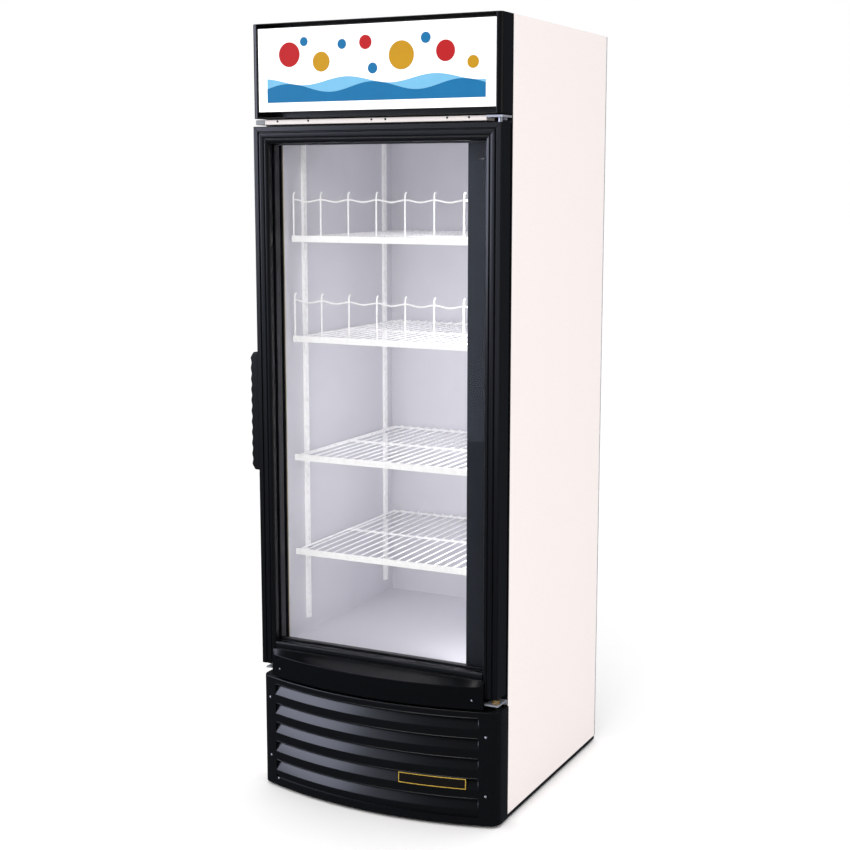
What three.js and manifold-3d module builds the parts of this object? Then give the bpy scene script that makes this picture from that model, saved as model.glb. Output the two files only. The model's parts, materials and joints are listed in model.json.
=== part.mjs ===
// A single glass door merchandiser: an upright refrigerated cabinet with a lit header sign, a hinged
// double-glazed door, four wire shelves, and a condensing unit behind a bowed louvred grille.
// Millimetres, +Z up. X runs across the front to the right, and Y runs back into the cabinet.
import * as THREE from 'three';
import Module from 'manifold-3d';
import { mergeVertices } from 'three/addons/utils/BufferGeometryUtils.js';

// ---- driving dimensions -------------------------------------------------------------------------
const WIDTH = 686;
const HEIGHT = 1997;
const BODY_DEPTH = 638; // white cabinet, from its front edge at Y 0 to the back panel
const DOOR_FACE = 68; // how far the door's flat face stands in front of the cabinet
const BOW = 53; // how far the apron and the grille bulge beyond the door's face
const BOW_RADIUS = 1029; // plan radius of that bulge
const GAP = 0.3; // clearance between neighbouring pieces

const HALF = WIDTH / 2;
const SKIN = 1.5; // painted sheet steel
const WALL = 46; // foamed wall, skins included
const BACK_FLANGE = 6; // depth of the back panel's folded pan

const PLINTH_BOTTOM = 6;
const PLINTH_TOP = 16; // the side panels start here
const BASE_DECK = 46; // top of the base tray
const FOAM_BOTTOM = 335; // underside of the insulated box
const FLOOR_Z = 390; // inside floor
const CEILING_Z = 1945; // inside ceiling
const CAVITY_HALF = HALF - WALL; // inside half width
const CAVITY_BACK = 590; // inside face of the rear wall
const LINER = 1.5;

const GRILLE_BOTTOM = 8;
const GRILLE_TOP = 306;
const GRILLE_HALF = 345;
const GRILLE_CORNER = 28;
const GRILLE_WALL = 4;
const SLOT_HALF = 298; // louvre slots, half length
const SLOT_COUNT = 5;
const SLOT_PITCH = 52.7;
const SLOT_FIRST = 49; // lower lip of the lowest slot
const SLOT_HEIGHT = 27;

const DOOR_BOTTOM = 340;
const DOOR_TOP = 1745.5;
const DOOR_BACK = 14; // the door's rear plane stands this far in front of the cabinet
const SIGHT = 42; // width of the moulded frame round the glass
const SIGHT_BOTTOM = 64; // height of the bottom rail
const REBATE = 8; // how far the glass unit reaches into the frame
const GLASS_FRONT = 48;
const GLASS_BACK = 28;
const PANE = 4;

const HEADER_BOTTOM = 1765;
const HEADER_BORDER = 16;
const HEADER_CORNER = 12;
const FRAME_FRONT = 6; // the cabinet's front frame stands this far proud
const FRAME_BOTTOM = 310;
const OPENING_HALF = 299;
const OPENING_BOTTOM = 391;
const OPENING_TOP = 1712;

const HINGE_X = 331;
const HINGE_Y = -48;
const PIN_RADIUS = 5;

const SHELF_TOPS = [640, 896, 1211, 1471];
const GUARDED_SHELVES = 2; // the upper two carry front guards
const SHELF_HALF = 288;
const SHELF_FRONT = 20;
const SHELF_BACK = 584;
const SHELF_LIP = 17;

// ---- colours ------------------------------------------------------------------------------------
const finish = (color, roughness, metalness = 0) => new THREE.MeshStandardMaterial({
  color,
  roughness,
  metalness,
});
const WHITE_STEEL = finish('#f1e9e6', 0.5);
const WHITE_LINER = finish('#f4f5f5', 0.4);
const BLACK_STEEL = finish('#16171a', 0.45);
const BLACK_MOULDING = finish('#121317', 0.35);
const RUBBER = finish('#1b1b1d', 0.8);
const FOAM = finish('#e2cf9a', 0.9);
const GALVANISED = finish('#9a9ea3', 0.4, 0.9);
const BRIGHT_STEEL = finish('#c3c6cc', 0.25, 1);
const ALUMINIUM = finish('#b8bcc0', 0.35, 1);
const SIGN_ACRYLIC = finish('#f7f7f5', 0.3);
const LAMP_GLASS = finish('#fbfbf4', 0.3);
const GLASS = finish('#dfeeea', 0.02);
GLASS.transparent = true;
GLASS.opacity = 0.25;
const WIRE_WHITE = finish('#f3f4f4', 0.35);
const DARK_GREY = finish('#2a2d33', 0.5);
const GREY_PLASTIC = finish('#8b8e92', 0.5);

// ---- solids -------------------------------------------------------------------------------------
const wasm = await Module();
wasm.setup();

// A closed three.js geometry as a manifold solid.
function solidOf(geometry) {
  const bare = geometry.clone();
  bare.deleteAttribute('normal');
  bare.deleteAttribute('uv');
  const merged = mergeVertices(bare, 1e-4);
  return new wasm.Manifold(new wasm.Mesh({
    numProp: 3,
    vertProperties: new Float32Array(merged.attributes.position.array),
    triVerts: new Uint32Array(merged.index.array),
  }));
}

// A manifold solid back as a three.js geometry.
function geometryOf(solid) {
  const mesh = solid.getMesh();
  const geometry = new THREE.BufferGeometry();
  geometry.setAttribute('position', new THREE.BufferAttribute(new Float32Array(mesh.vertProperties), 3));
  geometry.setIndex(new THREE.BufferAttribute(new Uint32Array(mesh.triVerts), 1));
  geometry.computeVertexNormals();
  return geometry;
}

function join(...geometries) {
  return geometryOf(geometries.map(solidOf).reduce((whole, piece) => whole.add(piece)));
}

function cut(geometry, ...tools) {
  return geometryOf(tools.map(solidOf).reduce((whole, tool) => whole.subtract(tool), solidOf(geometry)));
}

// A box between two corners.
function box(x0, x1, y0, y1, z0, z1) {
  return new THREE.BoxGeometry(x1 - x0, y1 - y0, z1 - z0)
    .translate((x0 + x1) / 2, (y0 + y1) / 2, (z0 + z1) / 2);
}

// A round solid about a vertical axis, from [radius, height] points that start and end on the axis.
function turned(profile, segments = 20) {
  const points = profile.map(([radius, height]) => new THREE.Vector2(radius, height));
  return new THREE.LatheGeometry(points, segments).rotateX(Math.PI / 2);
}

function cylinderZ(radius, z0, z1, segments = 20) {
  return turned([[0, z0], [radius, z0], [radius, z1], [0, z1]], segments);
}

// The same, lying along Y.
function cylinderY(radius, y0, y1, segments = 20) {
  return cylinderZ(radius, y0, y1, segments).rotateX(-Math.PI / 2);
}

// A plan outline raised between two heights.
function raised(points, z0, z1) {
  const shape = new THREE.Shape(points.map(([x, y]) => new THREE.Vector2(x, y)));
  return new THREE.ExtrudeGeometry(shape, { depth: z1 - z0, bevelEnabled: false }).translate(0, 0, z0);
}

// A closed solid through rings of equal length. flat picks the two coordinates that triangulate its caps.
function lofted(rings, flat) {
  const count = rings[0].length;
  const positions = rings.flat(2);
  const index = [];
  for (let r = 0; r + 1 < rings.length; r += 1) {
    for (let i = 0; i < count; i += 1) {
      const a = r * count + i;
      const b = r * count + ((i + 1) % count);
      index.push(a, b, b + count, a, b + count, a + count);
    }
  }
  const contour = rings[0].map((point) => new THREE.Vector2(...flat(point)));
  const last = (rings.length - 1) * count;
  THREE.ShapeUtils.triangulateShape(contour, []).forEach(([a, b, c]) => {
    const sameWay = !THREE.ShapeUtils.isClockWise(contour);
    const [p, q] = sameWay ? [b, c] : [c, b];
    index.push(a, q, p, last + a, last + p, last + q);
  });
  const geometry = new THREE.BufferGeometry();
  geometry.setAttribute('position', new THREE.Float32BufferAttribute(positions, 3));
  geometry.setIndex(index);
  orient(geometry);
  geometry.computeVertexNormals();
  return geometry;
}

// Turns a closed geometry the right way out.
function orient(geometry) {
  const { array } = geometry.attributes.position;
  const index = geometry.index.array;
  const corner = (i) => new THREE.Vector3().fromArray(array, index[i] * 3);
  let volume = 0;
  for (let i = 0; i < index.length; i += 3) {
    volume += corner(i).dot(corner(i + 1).cross(corner(i + 2)));
  }
  if (volume < 0) {
    for (let i = 0; i < index.length; i += 3) {
      [index[i + 1], index[i + 2]] = [index[i + 2], index[i + 1]];
    }
  }
}

const model = new THREE.Group();
const cabinet = new THREE.Group();
const door = new THREE.Group();
model.add(cabinet, door);

// The handle stands out on the left and the bulge at the front, so the cabinet is shifted to put the
// origin under the middle of the whole.
const HANDLE_REACH = 24;
model.position.set(
  (HALF + HANDLE_REACH - GRILLE_HALF) / 2,
  (DOOR_FACE + BOW - BODY_DEPTH) / 2,
  0,
);

function add(group, name, geometry, material, x = 0, y = 0, z = 0) {
  const mesh = new THREE.Mesh(geometry, material);
  mesh.name = name;
  mesh.position.set(x, y, z);
  group.add(mesh);
  return mesh;
}

// ---- outer shell --------------------------------------------------------------------------------
const SHELL_BACK = BODY_DEPTH - BACK_FLANGE - GAP;
[['left', -1], ['right', 1]].forEach(([side, sign]) => {
  const centre = sign * (HALF - SKIN / 2);
  add(cabinet, `${side}_side_panel`, box(-SKIN / 2, SKIN / 2, 0, SHELL_BACK, PLINTH_TOP, HEIGHT), WHITE_STEEL,
    centre);
});
const INNER_HALF = HALF - SKIN - GAP;
add(cabinet, 'top_panel', box(-INNER_HALF, INNER_HALF, 0, SHELL_BACK, HEIGHT - SKIN, HEIGHT), WHITE_STEEL);

// The back panel is one pan with an air opening behind the condensing unit.
const AIR_HALF = 270;
const AIR_LOW = 60;
const AIR_HIGH = 310;
add(cabinet, 'back_panel', cut(
  box(-HALF, HALF, BODY_DEPTH - BACK_FLANGE, BODY_DEPTH, PLINTH_TOP, HEIGHT),
  box(
    -HALF + SKIN,
    HALF - SKIN,
    BODY_DEPTH - BACK_FLANGE - 1,
    BODY_DEPTH - SKIN,
    PLINTH_TOP + SKIN,
    HEIGHT - SKIN,
  ),
  box(-AIR_HALF, AIR_HALF, BODY_DEPTH - 10, BODY_DEPTH + 10, AIR_LOW, AIR_HIGH),
), GALVANISED);

// ---- foam and liner -----------------------------------------------------------------------------
const FOAM_TOP = HEIGHT - SKIN - GAP;
const LINER_HALF = CAVITY_HALF + LINER;
const LINER_BACK = CAVITY_BACK + LINER;
[['left', -1], ['right', 1]].forEach(([side, sign]) => {
  const inner = LINER_HALF + GAP;
  const thick = INNER_HALF - inner;
  add(cabinet, `insulation_${side}`, box(-thick / 2, thick / 2, GAP, SHELL_BACK, FOAM_BOTTOM, FOAM_TOP), FOAM,
    sign * (inner + thick / 2));
});
add(cabinet, 'insulation_rear',
  box(-LINER_HALF, LINER_HALF, LINER_BACK + GAP, SHELL_BACK, FOAM_BOTTOM, FOAM_TOP), FOAM);
add(cabinet, 'insulation_ceiling',
  box(-LINER_HALF, LINER_HALF, GAP, LINER_BACK, CEILING_Z + LINER + GAP, FOAM_TOP), FOAM);
add(cabinet, 'insulation_floor',
  box(-LINER_HALF, LINER_HALF, GAP, LINER_BACK, FOAM_BOTTOM, FLOOR_Z - LINER - GAP), FOAM);
add(cabinet, 'inner_liner', cut(
  box(-LINER_HALF, LINER_HALF, GAP, LINER_BACK, FLOOR_Z - LINER, CEILING_Z + LINER),
  box(-CAVITY_HALF, CAVITY_HALF, -10, CAVITY_BACK, FLOOR_Z, CEILING_Z),
), WHITE_LINER);

// ---- base ---------------------------------------------------------------------------------------
const FOOT_X = 320;
const FOOT_Y = [24, 612];
const FOOT_BORE = 6;
const RAIL_INNER = 300; // the tray's side rails start here
const RAIL_FRONT = 42;
const RAIL_BACK = 592;
const DECK_SHEET = 3;
const FOOT_BORE_TOP = 38;
const baseSites = [-FOOT_X, FOOT_X].flatMap((x) => FOOT_Y.map((y) => [x, y]));
add(cabinet, 'base_frame', cut(
  join(
    box(-HALF, HALF, 0, SHELL_BACK, PLINTH_BOTTOM, PLINTH_TOP - GAP),
    box(-INNER_HALF, INNER_HALF, 0, SHELL_BACK, PLINTH_BOTTOM + 1, BASE_DECK),
  ),
  box(-RAIL_INNER, RAIL_INNER, RAIL_FRONT, RAIL_BACK, 0, BASE_DECK - DECK_SHEET),
  ...baseSites.map(([x, y]) => cylinderZ(FOOT_BORE, 0, FOOT_BORE_TOP, 16).translate(x, y, 0)),
), BLACK_STEEL);
// A foot's pad and its stem, as [radius, height].
const FOOT_PROFILE = [[0, 0], [17, 0], [18, 1.5], [16, 4], [5, 5.2], [5, 34], [0, 34]];
baseSites.forEach(([x, y]) => {
  const name = `leveling_foot_${y < 100 ? 'front' : 'rear'}_${x < 0 ? 'left' : 'right'}`;
  add(cabinet, name, turned(FOOT_PROFILE, 24), BRIGHT_STEEL, x, y);
});

// ---- front frame and lintel ---------------------------------------------------------------------
add(cabinet, 'front_frame', cut(
  box(-HALF, HALF, -FRAME_FRONT, -GAP, FRAME_BOTTOM, HEIGHT),
  box(-OPENING_HALF, OPENING_HALF, -50, 50, OPENING_BOTTOM, OPENING_TOP),
), BLACK_STEEL);
const LINTEL_RIGHT = 298;
const LINTEL_BOTTOM = 1750;
const LINTEL_TOP = 1762;
const LINTEL_SETBACK = 14; // behind the header's face
add(cabinet, 'lintel_strip', box(
  -HALF,
  LINTEL_RIGHT,
  -DOOR_FACE + LINTEL_SETBACK,
  -FRAME_FRONT - GAP,
  LINTEL_BOTTOM,
  LINTEL_TOP,
), WHITE_STEEL);

// ---- header -------------------------------------------------------------------------------------
// Plan of the header's outside: square at the back, with round front corners.
function headerPlan() {
  const points = [[HALF, -FRAME_FRONT - GAP]];
  const steps = 6;
  for (let i = 0; i <= steps; i += 1) {
    const angle = (i / steps) * (Math.PI / 2);
    points.push([
      HALF - HEADER_CORNER + HEADER_CORNER * Math.cos(angle),
      -DOOR_FACE + HEADER_CORNER - HEADER_CORNER * Math.sin(angle),
    ]);
  }
  const mirrored = points.map(([x, y]) => [-x, y]).reverse();
  return [...points, ...mirrored];
}
const SIGN_HALF = HALF - HEADER_BORDER;
const SIGN_BOTTOM = HEADER_BOTTOM + HEADER_BORDER;
const SIGN_TOP = HEIGHT - 12;
const HEADER_REAR_WALL = 9;
add(cabinet, 'header_housing', cut(
  raised(headerPlan(), HEADER_BOTTOM, HEIGHT),
  box(-SIGN_HALF, SIGN_HALF, -100, -HEADER_REAR_WALL, SIGN_BOTTOM, SIGN_TOP),
), BLACK_MOULDING);
const SIGN_PLANE = DOOR_FACE - 4;
const SIGN_THICK = 3;
add(cabinet, 'sign_panel', box(
  -SIGN_HALF + GAP,
  SIGN_HALF - GAP,
  -SIGN_PLANE,
  -SIGN_PLANE + SIGN_THICK,
  SIGN_BOTTOM + GAP,
  SIGN_TOP - GAP,
), SIGN_ACRYLIC);
const TUBE_END = 3;
const TUBE_RADIUS = 13;
const HEADER_TUBE_Y = -34;
const headerTubeHalf = 295;
add(cabinet, 'header_lamp', turned([
  [0, -headerTubeHalf],
  [TUBE_RADIUS - TUBE_END, -headerTubeHalf],
  [TUBE_RADIUS, -headerTubeHalf + TUBE_END],
  [TUBE_RADIUS, headerTubeHalf - TUBE_END],
  [TUBE_RADIUS - TUBE_END, headerTubeHalf],
  [0, headerTubeHalf],
], 12).rotateY(Math.PI / 2), LAMP_GLASS, 0, HEADER_TUBE_Y, (SIGN_BOTTOM + SIGN_TOP) / 2);

// ---- bowed front --------------------------------------------------------------------------------
const BOW_FRONT = -(DOOR_FACE + BOW);
const BOW_CENTRE = BOW_FRONT + BOW_RADIUS;
// Y of the bowed surface at a given X.
const bowAt = (x, inward = 0) => BOW_CENTRE - Math.sqrt((BOW_RADIUS - inward) ** 2 - x * x);

// Plan of the grille, offset inward: straight sides, round corners and the bowed front.
function grillePlan(inward, back) {
  const radius = BOW_RADIUS - inward;
  const corner = GRILLE_CORNER - inward;
  const cornerX = GRILLE_HALF - GRILLE_CORNER;
  const cornerY = BOW_CENTRE - Math.sqrt((BOW_RADIUS - GRILLE_CORNER) ** 2 - cornerX ** 2);
  const sweep = Math.asin(cornerX / (BOW_RADIUS - GRILLE_CORNER));
  const points = [[GRILLE_HALF - inward, back]];
  const cornerSteps = 6;
  for (let i = 0; i <= cornerSteps; i += 1) {
    const angle = (i / cornerSteps) * (Math.PI / 2 - sweep);
    points.push([cornerX + corner * Math.cos(angle), cornerY - corner * Math.sin(angle)]);
  }
  const frontSteps = 10;
  for (let i = 1; i <= frontSteps; i += 1) {
    const angle = sweep * (1 - i / frontSteps);
    points.push([radius * Math.sin(angle), BOW_CENTRE - radius * Math.cos(angle)]);
  }
  const mirrored = points.slice(0, -1).map(([x, y]) => [-x, y]).reverse();
  return [...points, ...mirrored];
}

// Positions across the bow, from left to right.
function across(left, right, steps) {
  return Array.from({ length: steps + 1 }, (_, i) => left + ((right - left) * i) / steps);
}
const sideView = ([, y, z]) => [y, z];

// Each louvre is a ramp that starts at the lower lip of its slot and climbs inward behind it.
const RAMP_DEPTH = 15;
const RAMP_RISE = 33;
const RAMP_THICK = 6;
const RAMP_SINK = 1; // how far under the lip the ramp starts
const slotLips = Array.from({ length: SLOT_COUNT }, (_, i) => SLOT_FIRST + i * SLOT_PITCH);
const ramps = slotLips.map((lip) => lofted(across(-SLOT_HALF, SLOT_HALF, 20).map((x) => {
  const inside = bowAt(x, GRILLE_WALL);
  return [
    [x, inside - 2, lip - RAMP_SINK - RAMP_THICK],
    [x, inside - 2, lip - RAMP_SINK],
    [x, inside + RAMP_DEPTH, lip + RAMP_RISE],
    [x, inside + RAMP_DEPTH, lip + RAMP_RISE - RAMP_THICK],
  ];
}), sideView));
const slots = slotLips.map((lip) => box(-SLOT_HALF, SLOT_HALF, -200, -60, lip, lip + SLOT_HEIGHT));
const grilleBack = -GAP;
const grilleShell = cut(
  raised(grillePlan(0, grilleBack), GRILLE_BOTTOM, GRILLE_TOP),
  raised(grillePlan(GRILLE_WALL, 20), 0, GRILLE_TOP - GRILLE_WALL),
  ...slots,
);
add(cabinet, 'grille', join(grilleShell, ...ramps), BLACK_MOULDING);

const BADGE_LEFT = 92;
const BADGE_RIGHT = 272;
const BADGE_BOTTOM = 101;
const BADGE_TOP = 131;
const BADGE_THICK = 2;
add(cabinet, 'grille_badge', lofted(across(BADGE_LEFT, BADGE_RIGHT, 6).map((x) => {
  const back = bowAt(x) - GAP;
  const front = back - BADGE_THICK;
  return [[x, back, BADGE_BOTTOM], [x, back, BADGE_TOP], [x, front, BADGE_TOP], [x, front, BADGE_BOTTOM]];
}), sideView), finish('#1a1712', 0.3));

// ---- hinge brackets -----------------------------------------------------------------------------
const BRACKET_LEFT = 306;
const BRACKET_FRONT = -62;
const BRACKET_Z = 320;
const BRACKET_THICK = 4;
const BRACKET_FOOT = 3; // thickness of the leg screwed to the frame
const BOTTOM_PIN_TOP = 366;
const LEFT_BRACKET_RIGHT = -314;
const LEFT_BRACKET_FRONT = -50;
const bracketBack = -FRAME_FRONT - GAP;
add(cabinet, 'bottom_hinge_bracket', join(
  box(BRACKET_LEFT, HALF, BRACKET_FRONT, bracketBack, BRACKET_Z, BRACKET_Z + BRACKET_THICK),
  box(BRACKET_LEFT, HALF, bracketBack - BRACKET_FOOT, bracketBack, FRAME_BOTTOM + 1, BRACKET_Z + 1),
  cylinderZ(PIN_RADIUS, BRACKET_Z + 1, BOTTOM_PIN_TOP).translate(HINGE_X, HINGE_Y, 0),
), BRIGHT_STEEL);
add(cabinet, 'left_door_bracket', join(
  box(-HALF, LEFT_BRACKET_RIGHT, LEFT_BRACKET_FRONT, bracketBack, BRACKET_Z, BRACKET_Z + BRACKET_THICK),
  box(-HALF, LEFT_BRACKET_RIGHT, bracketBack - BRACKET_FOOT, bracketBack, FRAME_BOTTOM + 1, BRACKET_Z + 1),
), GALVANISED);
const TOP_BRACKET_Z = 1757;
const TOP_BRACKET_THICK = 5;
const TOP_PIN_BOTTOM = 1722;
const BOLT_RADIUS = 6; // the hexagonal bolt behind the pin
const BOLT_BEHIND = 26;
add(cabinet, 'top_hinge_bracket', join(
  box(BRACKET_LEFT - 4, HALF, BRACKET_FRONT, bracketBack, TOP_BRACKET_Z, TOP_BRACKET_Z + TOP_BRACKET_THICK),
  cylinderZ(PIN_RADIUS, TOP_PIN_BOTTOM, TOP_BRACKET_Z + 1).translate(HINGE_X, HINGE_Y, 0),
  cylinderZ(BOLT_RADIUS, TOP_BRACKET_Z - 6, TOP_BRACKET_Z + 1, 6)
    .translate(HINGE_X, HINGE_Y + BOLT_BEHIND, 0),
), BRIGHT_STEEL);

// ---- door ---------------------------------------------------------------------------------------
// The moulded frame's section: [distance in from the outer edge, Y]. Three stepped bands run round the
// glass, and a rebate behind them holds the glass unit.
const bandSection = [
  [0, -DOOR_BACK],
  [0, -DOOR_FACE + 2],
  [2, -DOOR_FACE],
  [15.5, -DOOR_FACE],
  [16.5, -DOOR_FACE + 3],
  [18.5, -DOOR_FACE + 3],
  [19, -DOOR_FACE + 1],
  [30, -DOOR_FACE + 1],
  [30.5, -DOOR_FACE + 3.5],
  [31.7, -DOOR_FACE + 3.5],
  [32.2, -DOOR_FACE + 2],
  [SIGHT, -DOOR_FACE + 13],
  [SIGHT, -GLASS_FRONT - 1],
  [SIGHT - REBATE, -GLASS_FRONT - 1],
  [SIGHT - REBATE, -GLASS_BACK + 1],
  [SIGHT, -GLASS_BACK + 1],
  [SIGHT, -DOOR_BACK],
];
const planView = ([x, y]) => [x, y];
const PIN_BORE = 6;
const LOW_BORE = [330, 368];
const HIGH_BORE = [1720, 1760];
const pinHole = ([z0, z1]) => cylinderZ(PIN_BORE, z0, z1, 20).translate(HINGE_X, HINGE_Y, 0);
[['left', -1], ['right', 1]].forEach(([side, sign]) => {
  const stile = lofted([
    bandSection.map(([u, y]) => [sign * (HALF - u), y, DOOR_BOTTOM]),
    bandSection.map(([u, y]) => [sign * (HALF - u), y, DOOR_TOP - u]),
  ], planView);
  const geometry = side === 'left' ? stile : cut(stile, pinHole(LOW_BORE), pinHole(HIGH_BORE));
  add(door, `door_stile_${side}`, geometry, BLACK_MOULDING);
});
const MITRE = 0.45;
const topRail = lofted([-1, 1].map((sign) => (
  bandSection.map(([u, y]) => [sign * (HALF - u - MITRE), y, DOOR_TOP - u])
)), sideView);
add(door, 'door_rail_top', cut(topRail, pinHole(HIGH_BORE)), BLACK_MOULDING);
const RAIL_HALF = HALF - SIGHT - GAP;
const LEDGE_Z = 384; // where the apron's sloping ledge meets the door's face
const bottomSection = [
  [0, -DOOR_BACK],
  [0, -DOOR_FACE],
  [LEDGE_Z - DOOR_BOTTOM + 4, -DOOR_FACE],
  [SIGHT_BOTTOM, -DOOR_FACE + 13],
  [SIGHT_BOTTOM, -GLASS_FRONT - 1],
  [SIGHT_BOTTOM - REBATE, -GLASS_FRONT - 1],
  [SIGHT_BOTTOM - REBATE, -GLASS_BACK + 1],
  [SIGHT_BOTTOM, -GLASS_BACK + 1],
  [SIGHT_BOTTOM, -DOOR_BACK],
];
add(door, 'door_rail_bottom', lofted([-1, 1].map((sign) => (
  bottomSection.map(([u, y]) => [sign * RAIL_HALF, y, DOOR_BOTTOM + u])
)), sideView), BLACK_MOULDING);

const GLASS_PLAY = 0.5; // round the glass unit in its rebate
const GLASS_HALF = HALF - SIGHT + REBATE - GLASS_PLAY;
const GLASS_LOW = DOOR_BOTTOM + SIGHT_BOTTOM - REBATE + GLASS_PLAY;
const GLASS_HIGH = DOOR_TOP - SIGHT + REBATE - GLASS_PLAY;
const pane = (front) => box(-GLASS_HALF, GLASS_HALF, front, front + PANE, GLASS_LOW, GLASS_HIGH);
add(door, 'outer_glass', pane(-GLASS_FRONT), GLASS);
add(door, 'inner_glass', pane(-GLASS_BACK - PANE), GLASS);
const SPACER = 12;
const spacerFront = -GLASS_FRONT + PANE + GAP;
const spacerBack = -GLASS_BACK - PANE - GAP;
add(door, 'glass_spacer', cut(
  box(-GLASS_HALF, GLASS_HALF, spacerFront, spacerBack, GLASS_LOW, GLASS_HIGH),
  box(-GLASS_HALF + SPACER, GLASS_HALF - SPACER, -100, 0, GLASS_LOW + SPACER, GLASS_HIGH - SPACER),
), BLACK_STEEL);

// The gasket's right edge stays inside the hinge axis, so no part of it swings into the cabinet.
const GASKET_WIDTH = 26;
const gasketFront = -DOOR_BACK + GAP;
const gasketBack = -FRAME_FRONT - GAP;
const GASKET_LOW = 352;
const GASKET_HIGH = 1742;
add(door, 'door_gasket', cut(
  box(-HINGE_X, HINGE_X, gasketFront, gasketBack, GASKET_LOW, GASKET_HIGH),
  box(-HINGE_X + GASKET_WIDTH, HINGE_X - GASKET_WIDTH, -40, 20, GASKET_LOW + GASKET_WIDTH,
    GASKET_HIGH - GASKET_WIDTH),
), RUBBER);

// The apron: a ledge slopes from the door's flat face to the bowed skirt that hangs in front of it.
const APRON_HALF = 308;
const APRON_BOTTOM = 312;
const APRON_SHOULDER = 369;
const APRON_SKIN = 3.5;
const apronBack = -DOOR_FACE - GAP;
const apronStep = DOOR_BOTTOM + 5; // underside of the solid part behind the skirt
add(door, 'door_apron', lofted(across(-APRON_HALF, APRON_HALF, 24).map((x) => {
  const front = bowAt(x);
  return [
    [x, apronBack, LEDGE_Z],
    [x, front, APRON_SHOULDER],
    [x, front, APRON_BOTTOM],
    [x, front + APRON_SKIN, APRON_BOTTOM],
    [x, front + APRON_SKIN, apronStep],
    [x, apronBack, apronStep],
  ];
}), sideView), BLACK_MOULDING);

// The handle: a moulded grip on the door's left edge, with a rippled outer side.
const HANDLE_BOTTOM = 862;
const HANDLE_TOP = 1172;
const RIPPLES = 10;
const RIPPLE_DEPTH = 2.5;
const GRIP_END = 14; // plain length at each end of the ripples
const GRIP_TAPER = 9;
function handleOutline() {
  const inner = -HALF - GAP;
  const points = [[inner, HANDLE_BOTTOM], [inner, HANDLE_TOP]];
  const steps = RIPPLES * 6;
  const outer = -HALF - HANDLE_REACH;
  const low = HANDLE_BOTTOM + GRIP_END;
  const rippled = HANDLE_TOP - GRIP_END - low;
  points.push([outer + GRIP_TAPER, HANDLE_TOP]);
  for (let i = steps; i >= 0; i -= 1) {
    const t = i / steps;
    const dip = (RIPPLE_DEPTH / 2) * (1 - Math.cos(2 * Math.PI * RIPPLES * t));
    points.push([outer + dip, low + t * rippled]);
  }
  points.push([outer + GRIP_TAPER, HANDLE_BOTTOM]);
  return points;
}
const HANDLE_FRONT = -64;
const HANDLE_BACK = -38;
add(door, 'door_handle', lofted([HANDLE_FRONT, HANDLE_BACK].map((y) => (
  handleOutline().map(([x, z]) => [x, y, z])
)), ([x, , z]) => [x, z]), BLACK_MOULDING);

// ---- shelves ------------------------------------------------------------------------------------
const BAR = 5;
const FRONT_RAIL = 4;
const MIDDLE_BAR_Y = 300;
const LONG_BARS = 13;
const GUARD_HEIGHT = 112;
const GUARD_POSTS = 8;
const GUARD_RAIL = [88, 92];
function shelfGeometry(guarded) {
  const pieces = [
    box(-SHELF_HALF, SHELF_HALF, SHELF_FRONT, SHELF_FRONT + FRONT_RAIL, -SHELF_LIP, 0),
    box(-SHELF_HALF, SHELF_HALF, SHELF_BACK - BAR, SHELF_BACK, -9, -2),
    box(-SHELF_HALF, SHELF_HALF, MIDDLE_BAR_Y, MIDDLE_BAR_Y + BAR, -10, -3),
  ];
  across(-SHELF_HALF + BAR / 2, SHELF_HALF - BAR / 2, LONG_BARS - 1).forEach((x) => {
    pieces.push(box(x - BAR / 2, x + BAR / 2, SHELF_FRONT + 1, SHELF_BACK - 1, -5, 0));
  });
  if (guarded) {
    const y = SHELF_FRONT + 5;
    across(-SHELF_HALF + 2, SHELF_HALF - 2, GUARD_POSTS - 1).forEach((x) => {
      pieces.push(box(x - 2, x + 2, y - 2, y + 2, -6, GUARD_HEIGHT));
    });
    pieces.push(box(-SHELF_HALF + 1, SHELF_HALF - 1, y - 1.5, y + 1.5, ...GUARD_RAIL));
  }
  return join(...pieces);
}
SHELF_TOPS.forEach((top, i) => {
  const guarded = i >= SHELF_TOPS.length - GUARDED_SHELVES;
  add(cabinet, `shelf_${i + 1}`, shelfGeometry(guarded), WIRE_WHITE, 0, 0, top);
});

// Slotted standards that carry the shelves, two on each side wall.
const PILASTER_WIDTH = 16;
const PILASTER_DEPTH = 7.5;
const PILASTER_LOW = 430;
const PILASTER_HIGH = 1730;
[['front', 84], ['rear', 530]].forEach(([where, y]) => {
  [['left', -1], ['right', 1]].forEach(([side, sign]) => {
    const centre = sign * (CAVITY_HALF - GAP - PILASTER_DEPTH / 2);
    add(cabinet, `pilaster_${where}_${side}`,
      box(-PILASTER_DEPTH / 2, PILASTER_DEPTH / 2, 0, PILASTER_WIDTH, PILASTER_LOW,
        PILASTER_HIGH), WIRE_WHITE, centre, y);
  });
});

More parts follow.
